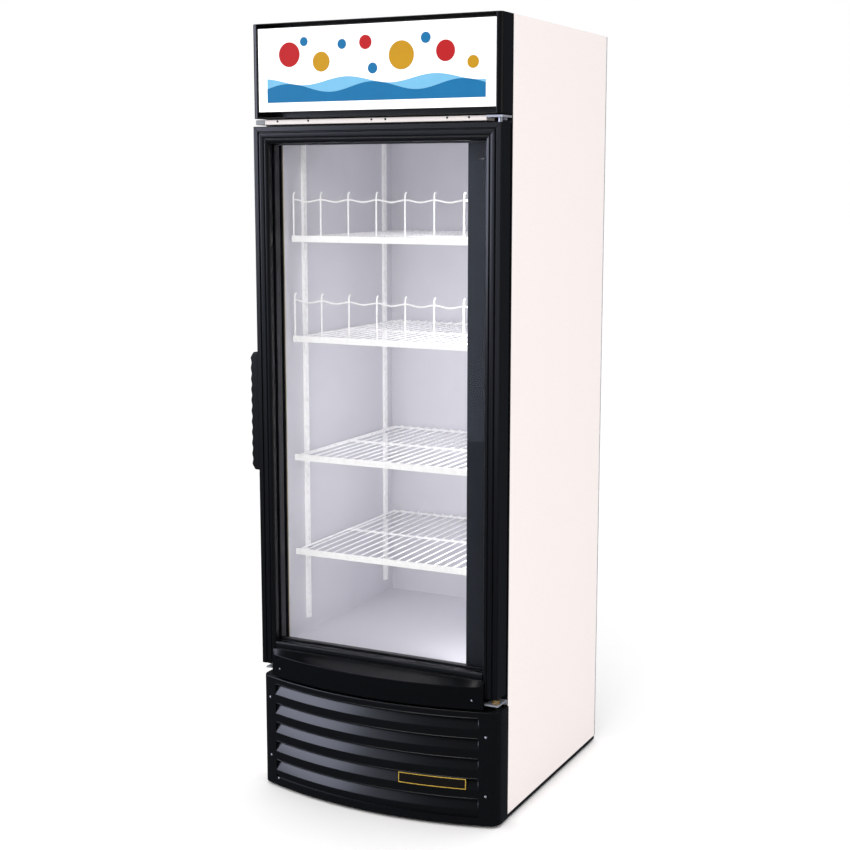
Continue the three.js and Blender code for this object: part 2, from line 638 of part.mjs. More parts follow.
// ---- cabinet lamp -------------------------------------------------------------------------------
const LAMP_LEFT = 228;
const LAMP_RIGHT = CAVITY_HALF - GAP;
const LAMP_FRONT = -5;
const LAMP_BACK = 17;
const LAMP_LOW = 400;
const LAMP_HIGH = 1705;
const SWITCH_X = 262;
const SWITCH_Z = 1672;
const SWITCH_HALF_WIDTH = 7;
const SWITCH_HALF_HEIGHT = 11;
const SWITCH_HOLE_X = SWITCH_HALF_WIDTH + 0.4;
const SWITCH_HOLE_Z = SWITCH_HALF_HEIGHT - 0.6; // the rocker overlaps its hole above and below
const LAMP_SHEET = 2;
add(cabinet, 'lamp_housing', cut(
  box(LAMP_LEFT, LAMP_RIGHT, LAMP_FRONT, LAMP_BACK, LAMP_LOW, LAMP_HIGH),
  box(
    LAMP_LEFT + LAMP_SHEET,
    LAMP_RIGHT - LAMP_SHEET,
    LAMP_FRONT + LAMP_SHEET,
    LAMP_BACK + 10,
    LAMP_LOW + LAMP_SHEET,
    LAMP_HIGH - LAMP_SHEET,
  ),
  box(
    SWITCH_X - SWITCH_HOLE_X,
    SWITCH_X + SWITCH_HOLE_X,
    LAMP_FRONT - 5,
    LAMP_FRONT + 4,
    SWITCH_Z - SWITCH_HOLE_Z,
    SWITCH_Z + SWITCH_HOLE_Z,
  ),
), DARK_GREY);
const LAMP_RADIUS = 8;
const LAMP_Y = 8;
const CAP = 2; // the tube's ends step in by this much
const tubeLow = LAMP_LOW + 20;
const tubeHigh = SWITCH_Z - 40;
add(cabinet, 'lamp_tube', turned([
  [0, tubeLow],
  [LAMP_RADIUS - CAP, tubeLow],
  [LAMP_RADIUS, tubeLow + CAP],
  [LAMP_RADIUS, tubeHigh - CAP],
  [LAMP_RADIUS - CAP, tubeHigh],
  [0, tubeHigh],
], 12), LAMP_GLASS, SWITCH_X, LAMP_Y);
// The rocker: a shallow wedge that tilts about a horizontal axis through its middle, pressed in at the top.
const ROCKER_TILT = -8 * (Math.PI / 180);
const rocker = add(cabinet, 'light_switch', lofted([-SWITCH_HALF_WIDTH, SWITCH_HALF_WIDTH].map((x) => [
  [x, -4, -SWITCH_HALF_HEIGHT],
  [x, -1.5, 0],
  [x, -4, SWITCH_HALF_HEIGHT],
  [x, 3, SWITCH_HALF_HEIGHT - 3],
  [x, 3, -SWITCH_HALF_HEIGHT + 3],
]), sideView), BLACK_MOULDING, SWITCH_X, LAMP_FRONT, SWITCH_Z);
rocker.rotation.x = ROCKER_TILT;

// ---- fans ---------------------------------------------------------------------------------------
// A fan about a Y axis: a hub and pitched blades.
function fanGeometry(radius, hub, depth, blades) {
  const bladeRoot = hub - 4; // the blades start inside the hub
  const pitch = 0.45;
  const pieces = [cylinderY(hub, -depth / 2, depth / 2, 16)];
  for (let i = 0; i < blades; i += 1) {
    const blade = new THREE.BoxGeometry(radius - bladeRoot, 2, radius * 0.5);
    blade.rotateX(pitch);
    blade.translate((radius + bladeRoot) / 2, 0, 0);
    blade.rotateY((i * 2 * Math.PI) / blades);
    pieces.push(blade);
  }
  return join(...pieces);
}

// ---- evaporator, above the shelves behind the header ---------------------------------------------
const EVAP_FRONT = 200;
const EVAP_Z = 1852;
const EVAP_FAN_RADIUS = 72;
const EVAP_HALF = 280;
const EVAP_BACK = 586;
const EVAP_BOTTOM = 1763.5;
const EVAP_TOP = 1940;
add(cabinet, 'evaporator_cover', cut(
  join(
    box(-EVAP_HALF, EVAP_HALF, EVAP_FRONT, EVAP_FRONT + SKIN, EVAP_BOTTOM, EVAP_TOP),
    box(-EVAP_HALF, EVAP_HALF, EVAP_FRONT, EVAP_BACK, EVAP_BOTTOM, EVAP_BOTTOM + SKIN),
  ),
  cylinderY(EVAP_FAN_RADIUS + 6, EVAP_FRONT - 10, EVAP_FRONT + 10, 24).translate(0, 0, EVAP_Z),
), WHITE_LINER);
const evapFan = fanGeometry(EVAP_FAN_RADIUS, 16, 18, 4);
add(cabinet, 'evaporator_fan', evapFan, BLACK_MOULDING, 0, EVAP_FRONT + 24, EVAP_Z);
add(cabinet, 'evaporator_fan_motor', join(
  cylinderY(27, EVAP_FRONT + 46, EVAP_FRONT + 100, 16).translate(0, 0, EVAP_Z),
  cylinderY(4, EVAP_FRONT + 34, EVAP_FRONT + 50, 10).translate(0, 0, EVAP_Z),
  box(-12, 12, EVAP_FRONT + 66, EVAP_FRONT + 70, EVAP_BOTTOM + SKIN + GAP, EVAP_Z),
), GALVANISED);
// A finned coil: a block with channels between its fins.
function coilGeometry(width, depth, height, fins) {
  const slotWidth = (width / fins) * 0.5;
  const border = 5;
  const slotDepth = 6;
  const channels = across(-width / 2 + slotWidth, width / 2 - slotWidth, fins - 1).map((x) => box(
    x - slotWidth / 2,
    x + slotWidth / 2,
    -depth,
    -depth / 2 + slotDepth,
    border - height / 2,
    height / 2 - border,
  ));
  return cut(box(-width / 2, width / 2, -depth / 2, depth / 2, -height / 2, height / 2), ...channels);
}
const EVAP_COIL_Y = 470;
const EVAP_COIL_Z = 1845;
add(cabinet, 'evaporator_coil', coilGeometry(440, 170, 130, 24), ALUMINIUM, 0, EVAP_COIL_Y, EVAP_COIL_Z);

const DIAL_X = -215;
const DIAL_Z = 1815;
add(cabinet, 'thermostat', box(-26, 26, -20, -GAP, -28, 28), GREY_PLASTIC, DIAL_X, EVAP_FRONT, DIAL_Z);
add(cabinet, 'thermostat_dial', join(
  cylinderY(18, -34, -20 - GAP, 24),
  box(-2.5, 2.5, -38, -30, -15, 15),
), BLACK_MOULDING, DIAL_X, EVAP_FRONT, DIAL_Z);

// ---- condensing unit on the base tray -------------------------------------------------------------
const deck = BASE_DECK + GAP;
const COIL_X = -150;
const COIL_Z = 178;
const COIL_Y = 70;
const COIL_WIDTH = 280;
const COIL_HEIGHT = 250;
const COND_FAN_RADIUS = 95;
const condenserCoil = coilGeometry(COIL_WIDTH, 50, COIL_HEIGHT, 22);
add(cabinet, 'condenser_coil', condenserCoil, ALUMINIUM, COIL_X, COIL_Y, deck + COIL_HEIGHT / 2);
add(cabinet, 'condenser_shroud', cut(
  box(COIL_X - COIL_WIDTH / 2, COIL_X + COIL_WIDTH / 2, 97, 101, deck, 304),
  cylinderY(COND_FAN_RADIUS + 8, 80, 120, 28).translate(COIL_X, 0, COIL_Z),
), BLACK_STEEL);
add(cabinet, 'condenser_fan', fanGeometry(COND_FAN_RADIUS, 20, 24, 4), ALUMINIUM, COIL_X, 132, COIL_Z);
add(cabinet, 'condenser_fan_motor', join(
  cylinderY(36, 165, 225, 16).translate(COIL_X, 0, COIL_Z),
  cylinderY(4, 146, 168, 10).translate(COIL_X, 0, COIL_Z),
  box(COIL_X - 15, COIL_X + 15, 190, 195, deck, COIL_Z),
  box(COIL_X - 50, COIL_X + 50, 180, 210, deck, deck + 3),
), GALVANISED);
// The compressor's welded shell: feet plate, lower half, seam and domed top, as [radius, height].
add(cabinet, 'compressor', turned([
  [0, 0],
  [92, 0],
  [92, 6],
  [72, 14],
  [78, 40],
  [78, 92],
  [84, 95],
  [84, 101],
  [78, 104],
  [76, 150],
  [60, 184],
  [30, 198],
  [0, 201],
], 28), BLACK_STEEL, 150, 300, deck);
const PAN_LEFT = -290;
const PAN_FRONT = 420;
const PAN_BACK = 600;
const PAN_SHEET = 2;
add(cabinet, 'drain_pan', cut(
  box(PAN_LEFT, 0, PAN_FRONT, PAN_BACK, deck, deck + 40),
  box(
    PAN_LEFT + PAN_SHEET,
    -PAN_SHEET,
    PAN_FRONT + PAN_SHEET,
    PAN_BACK - PAN_SHEET,
    deck + PAN_SHEET,
    deck + 60,
  ),
), GALVANISED);
const BOX_LEFT = 70;
const BOX_RIGHT = 250;
const BOX_FRONT = 470;
const BOX_BACK = 612;
const BOX_HEIGHT = 150;
const controlBox = box(BOX_LEFT, BOX_RIGHT, BOX_FRONT, BOX_BACK, deck, deck + BOX_HEIGHT);
add(cabinet, 'control_box', controlBox, GALVANISED);
add(cabinet, 'power_inlet', cut(
  box(-24, 24, GAP, 14, -17, 17),
  box(-14, 14, 4, 30, -9, 9),
), BLACK_MOULDING, 200, BOX_BACK, 130);

export default model;
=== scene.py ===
# %% [markdown]
# # A glass door merchandiser
# A shop fridge with one glass door: a white steel cabinet, a lit header sign, four wire shelves and a bowed
# louvred grille over the cooling unit. The CAD model gives every size, place and joint. This script loads
# it as a fixed frame, and makes the surfaces that an eye would notice.
#
# Each step has a short text like this one, and then its code. Run the cells from top to bottom.

# %% Load the fixed frame
import json
import math

import bmesh
import bpy
from mathutils import Matrix, Vector


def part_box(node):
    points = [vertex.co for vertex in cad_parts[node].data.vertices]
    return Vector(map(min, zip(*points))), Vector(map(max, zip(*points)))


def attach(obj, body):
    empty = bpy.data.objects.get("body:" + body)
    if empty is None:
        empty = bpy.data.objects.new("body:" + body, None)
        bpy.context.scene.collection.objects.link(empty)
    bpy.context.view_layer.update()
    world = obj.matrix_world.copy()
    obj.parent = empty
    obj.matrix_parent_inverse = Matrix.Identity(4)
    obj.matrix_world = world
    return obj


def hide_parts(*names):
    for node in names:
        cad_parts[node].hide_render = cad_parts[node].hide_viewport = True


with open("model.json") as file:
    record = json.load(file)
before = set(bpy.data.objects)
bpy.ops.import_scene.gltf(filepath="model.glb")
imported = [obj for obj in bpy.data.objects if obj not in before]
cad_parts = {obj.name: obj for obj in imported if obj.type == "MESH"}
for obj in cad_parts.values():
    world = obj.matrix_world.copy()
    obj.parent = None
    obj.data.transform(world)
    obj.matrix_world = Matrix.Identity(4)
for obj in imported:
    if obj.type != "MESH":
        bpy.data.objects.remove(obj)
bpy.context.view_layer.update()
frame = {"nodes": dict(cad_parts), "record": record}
nodes = frame["nodes"]
MM = 0.001  # the pieces are modelled in millimetres and scaled once, when they are finished


def new_object(name, data):
    """Makes an object from its data and links it to the scene."""
    made = bpy.data.objects.new(name, data)
    bpy.context.scene.collection.objects.link(made)
    return made


# %% [markdown]
# ## The camera
# The fridge is seen from its right front corner at head height. A lens of 64 mm on a 36 mm sensor is a
# short telephoto, the usual choice for a tall product, because a wide lens would make its foot look small.
# The camera has no parent and no constraint: its angles are turned into one rotation.

# %% Place the camera
CAMERA_PLACE = Vector((1.807, -3.612, 1.599))
CAMERA_TURN = math.radians(26.7)  # about the vertical, to the left of straight ahead
CAMERA_PITCH = math.radians(-9.0)  # looking down
camera_data = bpy.data.cameras.new("camera")
camera_data.lens = 64.07
camera_data.sensor_width = 36
camera = new_object("camera", camera_data)
camera.location = CAMERA_PLACE
camera.rotation_euler = (math.pi / 2 + CAMERA_PITCH, 0, CAMERA_TURN)
bpy.context.scene.camera = camera
print("camera at", [round(v, 2) for v in camera.location])

# %% [markdown]
# ## Colours and nodes
# Colours are written as the hex values that a paint chart shows, which are sRGB. A shader works with linear
# light, so one function turns one into the other. One more small function adds a node, fills its sockets
# and links them: a socket is given either a value or the output that feeds it.

# %% Helpers for materials
def linear(colour):
    """The linear RGBA of an sRGB hex colour."""
    parts = [int(colour[i:i + 2], 16) / 255 for i in (1, 3, 5)]
    return [p / 12.92 if p <= 0.04045 else ((p + 0.055) / 1.055) ** 2.4 for p in parts] + [1.0]


def add_node(tree, kind, sockets=None, **settings):
    """Adds a node, sets it up, and fills its sockets with values or with the outputs that feed them."""
    node = tree.nodes.new(kind)
    for name, value in settings.items():
        setattr(node, name, value)
    for socket, value in (sockets or {}).items():
        if isinstance(value, bpy.types.NodeSocket):
            tree.links.new(value, node.inputs[socket])
        else:
            node.inputs[socket].default_value = value
    return node


def empty_material(name):
    """A material with an empty node tree."""
    made = bpy.data.materials.new(name)
    made.use_nodes = True
    made.node_tree.nodes.clear()
    return made, made.node_tree


print("the sRGB grey #808080 is", round(linear("#808080")[0], 3), "in linear light")

# %% [markdown]
# Nearly every finish here is one coat of something: paint, moulded plastic, zinc. Seen close to, none of
# them is even. The paint has the dimples called orange peel, a moulding has a spark-eroded grain, zinc
# freezes in flakes. So they share one recipe: a pattern with a real size in millimetres, which moves the
# colour and the roughness a little and raises a relief of a real height. Each finish then says what its own
# values are.

# %% The recipe for a coated surface
def coated(name, colours, grain, roughness, relief=0.0, stretch=(1, 1, 1), flakes=False, specular=0.5,
           **shader):
    """A finish whose pattern, of a grain in mm, moves colour and roughness, and may raise a relief in mm."""
    made, tree = empty_material(name)
    place = add_node(tree, "ShaderNodeTexCoord").outputs["Object"]
    scale = [s / (grain * MM) for s in stretch]
    placed = add_node(tree, "ShaderNodeMapping", {"Vector": place, "Scale": scale}).outputs["Vector"]
    if flakes:
        pattern = add_node(tree, "ShaderNodeTexVoronoi", {"Vector": placed, "Scale": 1.0})
        pattern = add_node(tree, "ShaderNodeSeparateColor", {"Color": pattern.outputs["Color"]})
        pattern = pattern.outputs["Red"]
    else:
        pattern = add_node(tree, "ShaderNodeTexNoise", {"Vector": placed, "Scale": 1.0, "Detail": 3.0})
        pattern = pattern.outputs["Fac"]
    # The Mix node keeps its colour inputs at 6 and 7, and its colour output at 2.
    mixed = add_node(tree, "ShaderNodeMix", {0: pattern, 6: linear(colours[0]), 7: linear(colours[1])},
                     data_type="RGBA").outputs[2]
    rough = add_node(tree, "ShaderNodeMapRange",
                     {"Value": pattern, "To Min": roughness[0], "To Max": roughness[1]}).outputs["Result"]
    sockets = {"Base Color": mixed, "Roughness": rough, "Specular IOR Level": specular, **shader}
    if relief:
        bump = add_node(tree, "ShaderNodeBump", {"Height": pattern, "Distance": relief * MM})
        sockets["Normal"] = bump.outputs["Normal"]
    surface = add_node(tree, "ShaderNodeBsdfPrincipled", sockets).outputs["BSDF"]
    add_node(tree, "ShaderNodeOutputMaterial", {"Surface": surface})
    return made


# %% [markdown]
# ## The paints
# The cabinet's skin is steel sheet with a stucco-embossed white baked enamel. Its real grain is about 1 mm,
# too fine to show at this size, so it is drawn at 3 mm and drawn out along the height, as the rolled sheet
# is. The black steel is powder coated, and the liner is a smooth white enamel that can be wiped down. The
# liner's colour is a lavender grey, darker than the white enamel, as painted shade for the inside of the
# cabinet.

# %% Painted steel
skin_enamel = coated("baked_enamel_white_stucco", ("#ebe3e1", "#f6efed"), 3.0, (0.42, 0.58), 0.05,
                     stretch=(1, 1, 0.35))
# The liner is white enamel. Its lavender grey colour here is painted shade for the inside of the cabinet.
liner_enamel_painted_shade = coated("baked_enamel_white_smooth_painted_shade", ("#cccbd2", "#d7d6dc"), 60.0, (0.28, 0.4))
black_powder = coated("powder_coat_black_satin", ("#060708", "#0a0b0d"), 1.2, (0.3, 0.32), 0.003,
                      specular=0.42)
shell_enamel = coated("enamel_black_gloss", ("#0b0c0e", "#121316"), 25.0, (0.16, 0.26), 0.04)
shelf_epoxy = coated("epoxy_coat_white", ("#fbfafa", "#ffffff"), 9.0, (0.22, 0.34))
print("painted steel:", skin_enamel.name, black_powder.name, liner_enamel_painted_shade.name)

# %% [markdown]
# ## The plastics and rubber
# The door frame, the grip and the grille are black mouldings with a satin skin, and the apron's is duller.
# Light skates along their ridges, so the roughness matters more than the colour. The gasket is a soft
# vinyl, which scatters light and shows hardly any gloss.

# %% Mouldings
door_vinyl = coated("extruded_vinyl_black_satin", ("#050608", "#080a0d"), 6.0, (0.272, 0.284),
                    specular=0.42)
apron_vinyl = coated("moulded_vinyl_black_matt", ("#050608", "#080a0d"), 6.0, (0.3, 0.31),
                     specular=0.2)
grille_abs = coated("moulded_abs_black_satin", ("#050608", "#080a0d"), 6.0, (0.29, 0.302),
                    specular=0.45)
gasket_vinyl = coated("soft_vinyl_black", ("#0c0c0d", "#161617"), 5.0, (0.6, 0.75), 0.03)
lamp_channel = coated("painted_channel_slate", ("#1b1f26", "#21262e"), 4.0, (0.5, 0.62),
                      specular=0.25)
grey_nylon = coated("moulded_nylon_grey", ("#7b7e83", "#8f9297"), 3.0, (0.42, 0.55), 0.02)
rigid_foam = coated("rigid_polyurethane_foam", ("#cdb678", "#ead9a6"), 6.0, (0.85, 0.95), 0.4)
print("mouldings:", door_vinyl.name, grille_abs.name, gasket_vinyl.name)

# %% [markdown]
# ## The bare metals
# Zinc plating is bright and faintly blue. Hot-dip zinc freezes in flakes about 12 mm across, each with its
# own gleam, which a Voronoi pattern gives. Aluminium sheet keeps the fine lines of its rolling, brass
# washers and copper tubes are warm, and a gold foil rims the badge. All of them lie under a dull skin, of
# oxide or of lacquer, so they are only partly metallic. They keep the default IOR.

# %% Metals
zinc_plate = coated("zinc_plated_steel", ("#a9adb8", "#ccd0da"), 7.0, (0.22, 0.36), 0.01, Metallic=0.6)
hot_dip_zinc = coated("hot_dip_zinc", ("#a2a8ae", "#bfc4c9"), 12.0, (0.35, 0.55), flakes=True, Metallic=0.35)
mill_aluminium = coated("mill_aluminium", ("#b4b8bc", "#d2d5d8"), 3.0, (0.26, 0.42), stretch=(1, 1, 0.05),
                        Metallic=0.6)
turned_brass = coated("turned_brass", ("#b98a3c", "#dcb465"), 2.0, (0.2, 0.3), Metallic=0.6)
drawn_copper = coated("drawn_copper", ("#a4583a", "#c97a55"), 8.0, (0.25, 0.4), Metallic=0.6)
gold_foil = coated("gold_foil", ("#c09a3a", "#e8c65f"), 5.0, (0.22, 0.34), Metallic=0.35)
print("metals:", zinc_plate.name, hot_dip_zinc.name, mill_aluminium.name, gold_foil.name)

# %% [markdown]
# ## Things that glow
# The sign is a sheet of white acrylic with a tube behind it. Scattering light through it would need many
# samples, so the sheet gets a low emission of its own, as bright as the tube makes it. The tubes are glass
# with a white phosphor coat, which is an emission too.

# %% Lit materials
SIGN_GLOW = 0.15
TUBE_GLOW = 1.6


def glowing(name, colours, roughness, strength):
    """A white plastic or coated glass that also gives off light."""
    glow = {"Emission Color": linear("#ffffff"), "Emission Strength": strength}
    return coated(name, colours, 80.0, roughness, **glow)


sign_acrylic = glowing("opal_acrylic", ("#f2f2f1", "#fafaf9"), (0.16, 0.24), SIGN_GLOW)
tube_phosphor = glowing("phosphor_coated_glass", ("#f4f5f0", "#fbfcf8"), (0.2, 0.3), TUBE_GLOW)
print("sign glows at", SIGN_GLOW, "and the tubes at", TUBE_GLOW)

# %% [markdown]
# ## Clear glass
# A door pane is 4 mm of float glass. Bending light through four faces would cost noise and hide what the
# lamps do behind it, and a flat thin pane hardly bends a view. So the pane is a clear shader with a mirror
# mixed in. The share of the mirror follows Schlick's rule: under 1% where the glass is seen head on, as
# display glass has an anti-reflection coat, and more and more as the view grazes it. A Fresnel node would
# turn the back of each pane into a full mirror past 50 degrees, because it takes that side for the inside
# of solid glass. Layer Weight treats both sides alike. Faint smears about 110 mm across roughen the mirror
# a little.

# %% Float glass
HEAD_ON = 0.006  # the share of light that the coated glass mirrors where it is seen head on
SCHLICK = 5.0  # the power in Schlick's rule
SMEAR_SCALE = 9.0  # smears to the metre
SMEAR_ROUGHNESS = 0.03


def float_glass():
    """Clear glass with a mirror mixed in, more of it at a grazing view."""
    made, tree = empty_material("float_glass")
    clear = add_node(tree, "ShaderNodeBsdfTransparent", {"Color": linear("#ffffff")}).outputs["BSDF"]
    place = add_node(tree, "ShaderNodeTexCoord").outputs["Object"]
    smears = add_node(tree, "ShaderNodeTexNoise", {"Vector": place, "Scale": SMEAR_SCALE}).outputs["Fac"]
    rough = add_node(tree, "ShaderNodeMapRange", {"Value": smears, "To Min": 0.0, "To Max": SMEAR_ROUGHNESS})
    mirror = add_node(tree, "ShaderNodeBsdfAnisotropic",
                      {"Color": linear("#f2f5f7"), "Roughness": rough.outputs["Result"]}).outputs["BSDF"]
    # At a Blend of 0.5, Facing is one minus the cosine of the angle, which is what Schlick's rule raises.
    grazing = add_node(tree, "ShaderNodeLayerWeight", {"Blend": 0.5}).outputs["Facing"]
    steep = add_node(tree, "ShaderNodeMath", {0: grazing, 1: SCHLICK}, operation="POWER").outputs["Value"]
    share = add_node(tree, "ShaderNodeMath", {0: steep, 1: 1 - HEAD_ON, 2: HEAD_ON},
                     operation="MULTIPLY_ADD").outputs["Value"]
    mixed = add_node(tree, "ShaderNodeMixShader", {0: share, 1: clear, 2: mirror}).outputs["Shader"]
    add_node(tree, "ShaderNodeOutputMaterial", {"Surface": mixed})
    return made


pane_glass = float_glass()
print("glass mirrors", HEAD_ON, "head on")

# %% [markdown]
# ## Finned coils
# A coil is a stack of thin aluminium plates on copper tubes. The plates stand 2.5 mm apart. They are drawn
# at 5 mm, so that they show as lines and don't turn into a moiré, by a wave pattern that also raises them.
# The dark bands between them are painted shade for the gaps between the plates.

# %% Coil fins
FIN_PITCH = 5.0
FIN_RELIEF = 1.0


def coil_fins():
    """Bright plates edge on, with dark bands of painted shade for the gaps between them."""
    made, tree = empty_material("aluminium_fins_and_gap_shade")
    place = add_node(tree, "ShaderNodeTexCoord").outputs["Object"]
    # A wave of scale 1 repeats every 2 pi / 20 of a unit, so this scale makes one band each FIN_PITCH.
    bands = add_node(tree, "ShaderNodeTexWave", {"Vector": place, "Scale": math.tau / 20 / (FIN_PITCH * MM)},
                     bands_direction="X").outputs["Fac"]
    # The dark colour of the bands between the plates is painted shade for the gaps.
    plates_and_gap_shade = add_node(tree, "ShaderNodeMix", {0: bands, 6: linear("#3a3d40"), 7: linear("#c6cacd")},
                     data_type="RGBA").outputs[2]
    bump = add_node(tree, "ShaderNodeBump", {"Height": bands, "Distance": FIN_RELIEF * MM}).outputs["Normal"]
    surface = add_node(tree, "ShaderNodeBsdfPrincipled",
                       {"Base Color": plates_and_gap_shade, "Metallic": 0.85, "Roughness": 0.38, "Normal": bump})
    add_node(tree, "ShaderNodeOutputMaterial", {"Surface": surface.outputs["BSDF"]})
    return made


fins_and_gap_shade = coil_fins()
print("coil fins every", FIN_PITCH, "mm")

# %% [markdown]
# ## Printing inks
# The sign's picture is screen printed in flat, opaque inks that are nearly matt, so that no lamp bleaches
# them. The picture is a plain one of cold bubbles over a wave, with no words. The badge's lacquer is
# glossy.

# %% Inks
def screen_ink(name, *colours):
    """An opaque, nearly matt ink."""
    return coated(f"screen_ink_{name}", colours, 40.0, (0.45, 0.5), specular=0.12)


ink_blue = screen_ink("blue", "#0e6292", "#136a9c")
ink_pale = screen_ink("pale_blue", "#68a8cc", "#74b1d3")
ink_red = screen_ink("red", "#a31316", "#ac191b")
ink_amber = screen_ink("amber", "#ac7f0c", "#b78913")
badge_black = coated("lacquer_black", ("#0d0b09", "#15120e"), 10.0, (0.12, 0.2))
print("inks:", ink_blue.name, ink_pale.name, ink_red.name, ink_amber.name)

# %% [markdown]
# ## The CAD nodes that stay
# The CAD gives its pieces sharp edges, and a real edge never is. A Weld modifier joins the CAD's loose
# triangles, a Bevel modifier rounds each edge sharper than 30 degrees, and Weighted Normal keeps the flat
# faces flat. Nothing in the CAD's own mesh changes. Each node gets the finish of its slot in the record,
# apart from a few that have one of their own.

# %% Finish the CAD nodes
SLOT_FINISH = {
    "white_steel": skin_enamel, "galvanised": hot_dip_zinc, "foam": rigid_foam, "liner_white": liner_enamel_painted_shade,
    "black_steel": black_powder, "black_moulding": door_vinyl, "sign_acrylic": sign_acrylic,
    "lamp_glass": tube_phosphor, "badge_plate": badge_black, "bright_steel": zinc_plate,
    "lamp_grey": lamp_channel, "shelf_wire": shelf_epoxy, "aluminium": mill_aluminium,
    "grey_plastic": grey_nylon, "clear_glass": pane_glass, "gasket_rubber": gasket_vinyl,
}
NODE_FINISH = {
    "compressor": shell_enamel, "condenser_coil": fins_and_gap_shade, "evaporator_coil": fins_and_gap_shade, "grille": grille_abs,
    "evaporator_fan": mill_aluminium, "light_switch": gasket_vinyl,
}
USUAL_ROUND = 0.8
EDGE_ROUND = {"float_glass": 0.5, "opal_acrylic": 0.5, "rigid_polyurethane_foam": 2.0}
BEVEL_ABOVE = math.radians(30)
WELD_WITHIN = 0.01
slot_of = {part["node"]: part["material_slot"] for part in frame["record"]["subparts"]}


def round_edges(piece, width, segments=2):
    """Rounds a piece's sharp edges by width, in mm, and keeps its flat faces flat."""
    bevel = piece.modifiers.new("bevel", "BEVEL")
    bevel.width = width * MM
    bevel.segments = segments
    bevel.limit_method = "ANGLE"
    bevel.angle_limit = BEVEL_ABOVE
    piece.modifiers.new("normals", "WEIGHTED_NORMAL").keep_sharp = True
    piece.data.shade_smooth()


def finish_cad_node(name, node):
    """Gives a CAD node its material and rounded edges."""
    made = NODE_FINISH.get(name) or SLOT_FINISH[slot_of[name]]
    node.data.materials.clear()
    node.data.materials.append(made)
    node.modifiers.new("weld", "WELD").merge_threshold = WELD_WITHIN * MM
    round_edges(node, EDGE_ROUND.get(made.name, USUAL_ROUND))


for name, node in nodes.items():
    finish_cad_node(name, node)
print("finished", len(nodes), "nodes")

# %% [markdown]
# ## Modelling helpers
# Most pieces here start as a box, a bent wire, a turned profile or an extruded section. These helpers add one
# of them to a mesh under construction, a bmesh, in millimetres. `finished` then scales the mesh to metres,
# makes the object, rounds its edges and ties it to the body of the fridge that it moves with.

# %% Boxes, bars and wires
def block(bm, low, high):
    """Adds a box between two corners, and returns its new vertices."""
    low, high = Vector(low), Vector(high)
    place = Matrix.Translation((low + high) / 2) @ Matrix.Diagonal(high - low).to_4x4()
    return bmesh.ops.create_cube(bm, size=1, matrix=place)["verts"]


def bar(bm, start, end, radius, sides):
    """Adds a round bar between two points."""
    start, end = Vector(start), Vector(end)
    along = end - start
    place = Matrix.Translation((start + end) / 2) @ along.to_track_quat("Z", "Y").to_matrix().to_4x4()
    bmesh.ops.create_cone(bm, cap_ends=True, segments=sides, radius1=radius, radius2=radius,
                          depth=along.length, matrix=place)


def wires(bm, paths, radius, roundness=2):
    """Adds a round wire along each path. A curve with a bevel makes the tubes, and its ends are capped."""
    curve = bpy.data.curves.new("wires", "CURVE")
    curve.dimensions = "3D"
    curve.bevel_depth = radius
    curve.bevel_resolution = roundness
    curve.use_fill_caps = True
    for path in paths:
        spline = curve.splines.new("POLY")
        spline.points.add(len(path) - 1)
        for point, place in zip(spline.points, path):
            point.co = (*place, 1)
    carrier = bpy.data.objects.new("wires", curve)
    tubes = bpy.data.meshes.new_from_object(carrier)
    bm.from_mesh(tubes)
    bpy.data.objects.remove(carrier)
    bpy.data.curves.remove(curve)
    bpy.data.meshes.remove(tubes)


# %% Turned and extruded shapes
TOUCHING = 0.001  # points closer than this count as one


def turned(bm, profile, place, steps):
    """Spins a profile of (radius, height) points round Z, moves it by a matrix, and adds it to the mesh."""
    lathe = bmesh.new()
    points = [lathe.verts.new((radius, 0, height)) for radius, height in profile]
    edges = [lathe.edges.new(pair) for pair in zip(points, points[1:])]
    bmesh.ops.spin(lathe, geom=points + edges, cent=(0, 0, 0), axis=(0, 0, 1), angle=math.tau, steps=steps,
                   use_merge=True)
    bmesh.ops.remove_doubles(lathe, verts=lathe.verts, dist=TOUCHING)
    bmesh.ops.recalc_face_normals(lathe, faces=lathe.faces)
    bmesh.ops.transform(lathe, matrix=place, verts=lathe.verts)
    carrier = bpy.data.meshes.new("lathe")
    lathe.to_mesh(carrier)
    lathe.free()
    bm.from_mesh(carrier)
    bpy.data.meshes.remove(carrier)


def push(bm, faces, step):
    """Extrudes faces and moves the new ones by a step. Returns the new faces and vertices.

    With the edges given too, the old faces go, except where they are the open end of a shape.
    """
    edges = list({edge for face in faces for edge in face.edges})
    made = bmesh.ops.extrude_face_region(bm, geom=[*faces, *edges])["geom"]
    new_faces = [g for g in made if isinstance(g, bmesh.types.BMFace)]
    new_verts = [g for g in made if isinstance(g, bmesh.types.BMVert)]
    bmesh.ops.translate(bm, vec=step, verts=new_verts)
    return new_faces, new_verts


def extruded(bm, section, steps):
    """Fills an outline and extrudes it by each step in turn. Returns the vertices of each section."""
    rows = [[bm.verts.new(point) for point in section]]
    faces = [bm.faces.new(rows[0])]
    for step in steps:
        faces, row = push(bm, faces, step)
        rows.append(row)
    return rows


# %% Cuts and rounded edges
def cut(bm, place, normal):
    """Cuts all the faces of a mesh along a plane, and takes nothing away."""
    bmesh.ops.bisect_plane(bm, geom=bm.verts[:] + bm.edges[:] + bm.faces[:], plane_co=place, plane_no=normal,
                           dist=TOUCHING)


def bevelled(bm, edges, width, segments):
    """Rounds the chosen edges of a mesh."""
    bmesh.ops.bevel(bm, geom=edges, offset=width, offset_type="OFFSET", segments=segments, profile=0.5,
                    affect="EDGES", material=-1)


# %% Hand over a finished piece
SMOOTH_BELOW = math.radians(35)


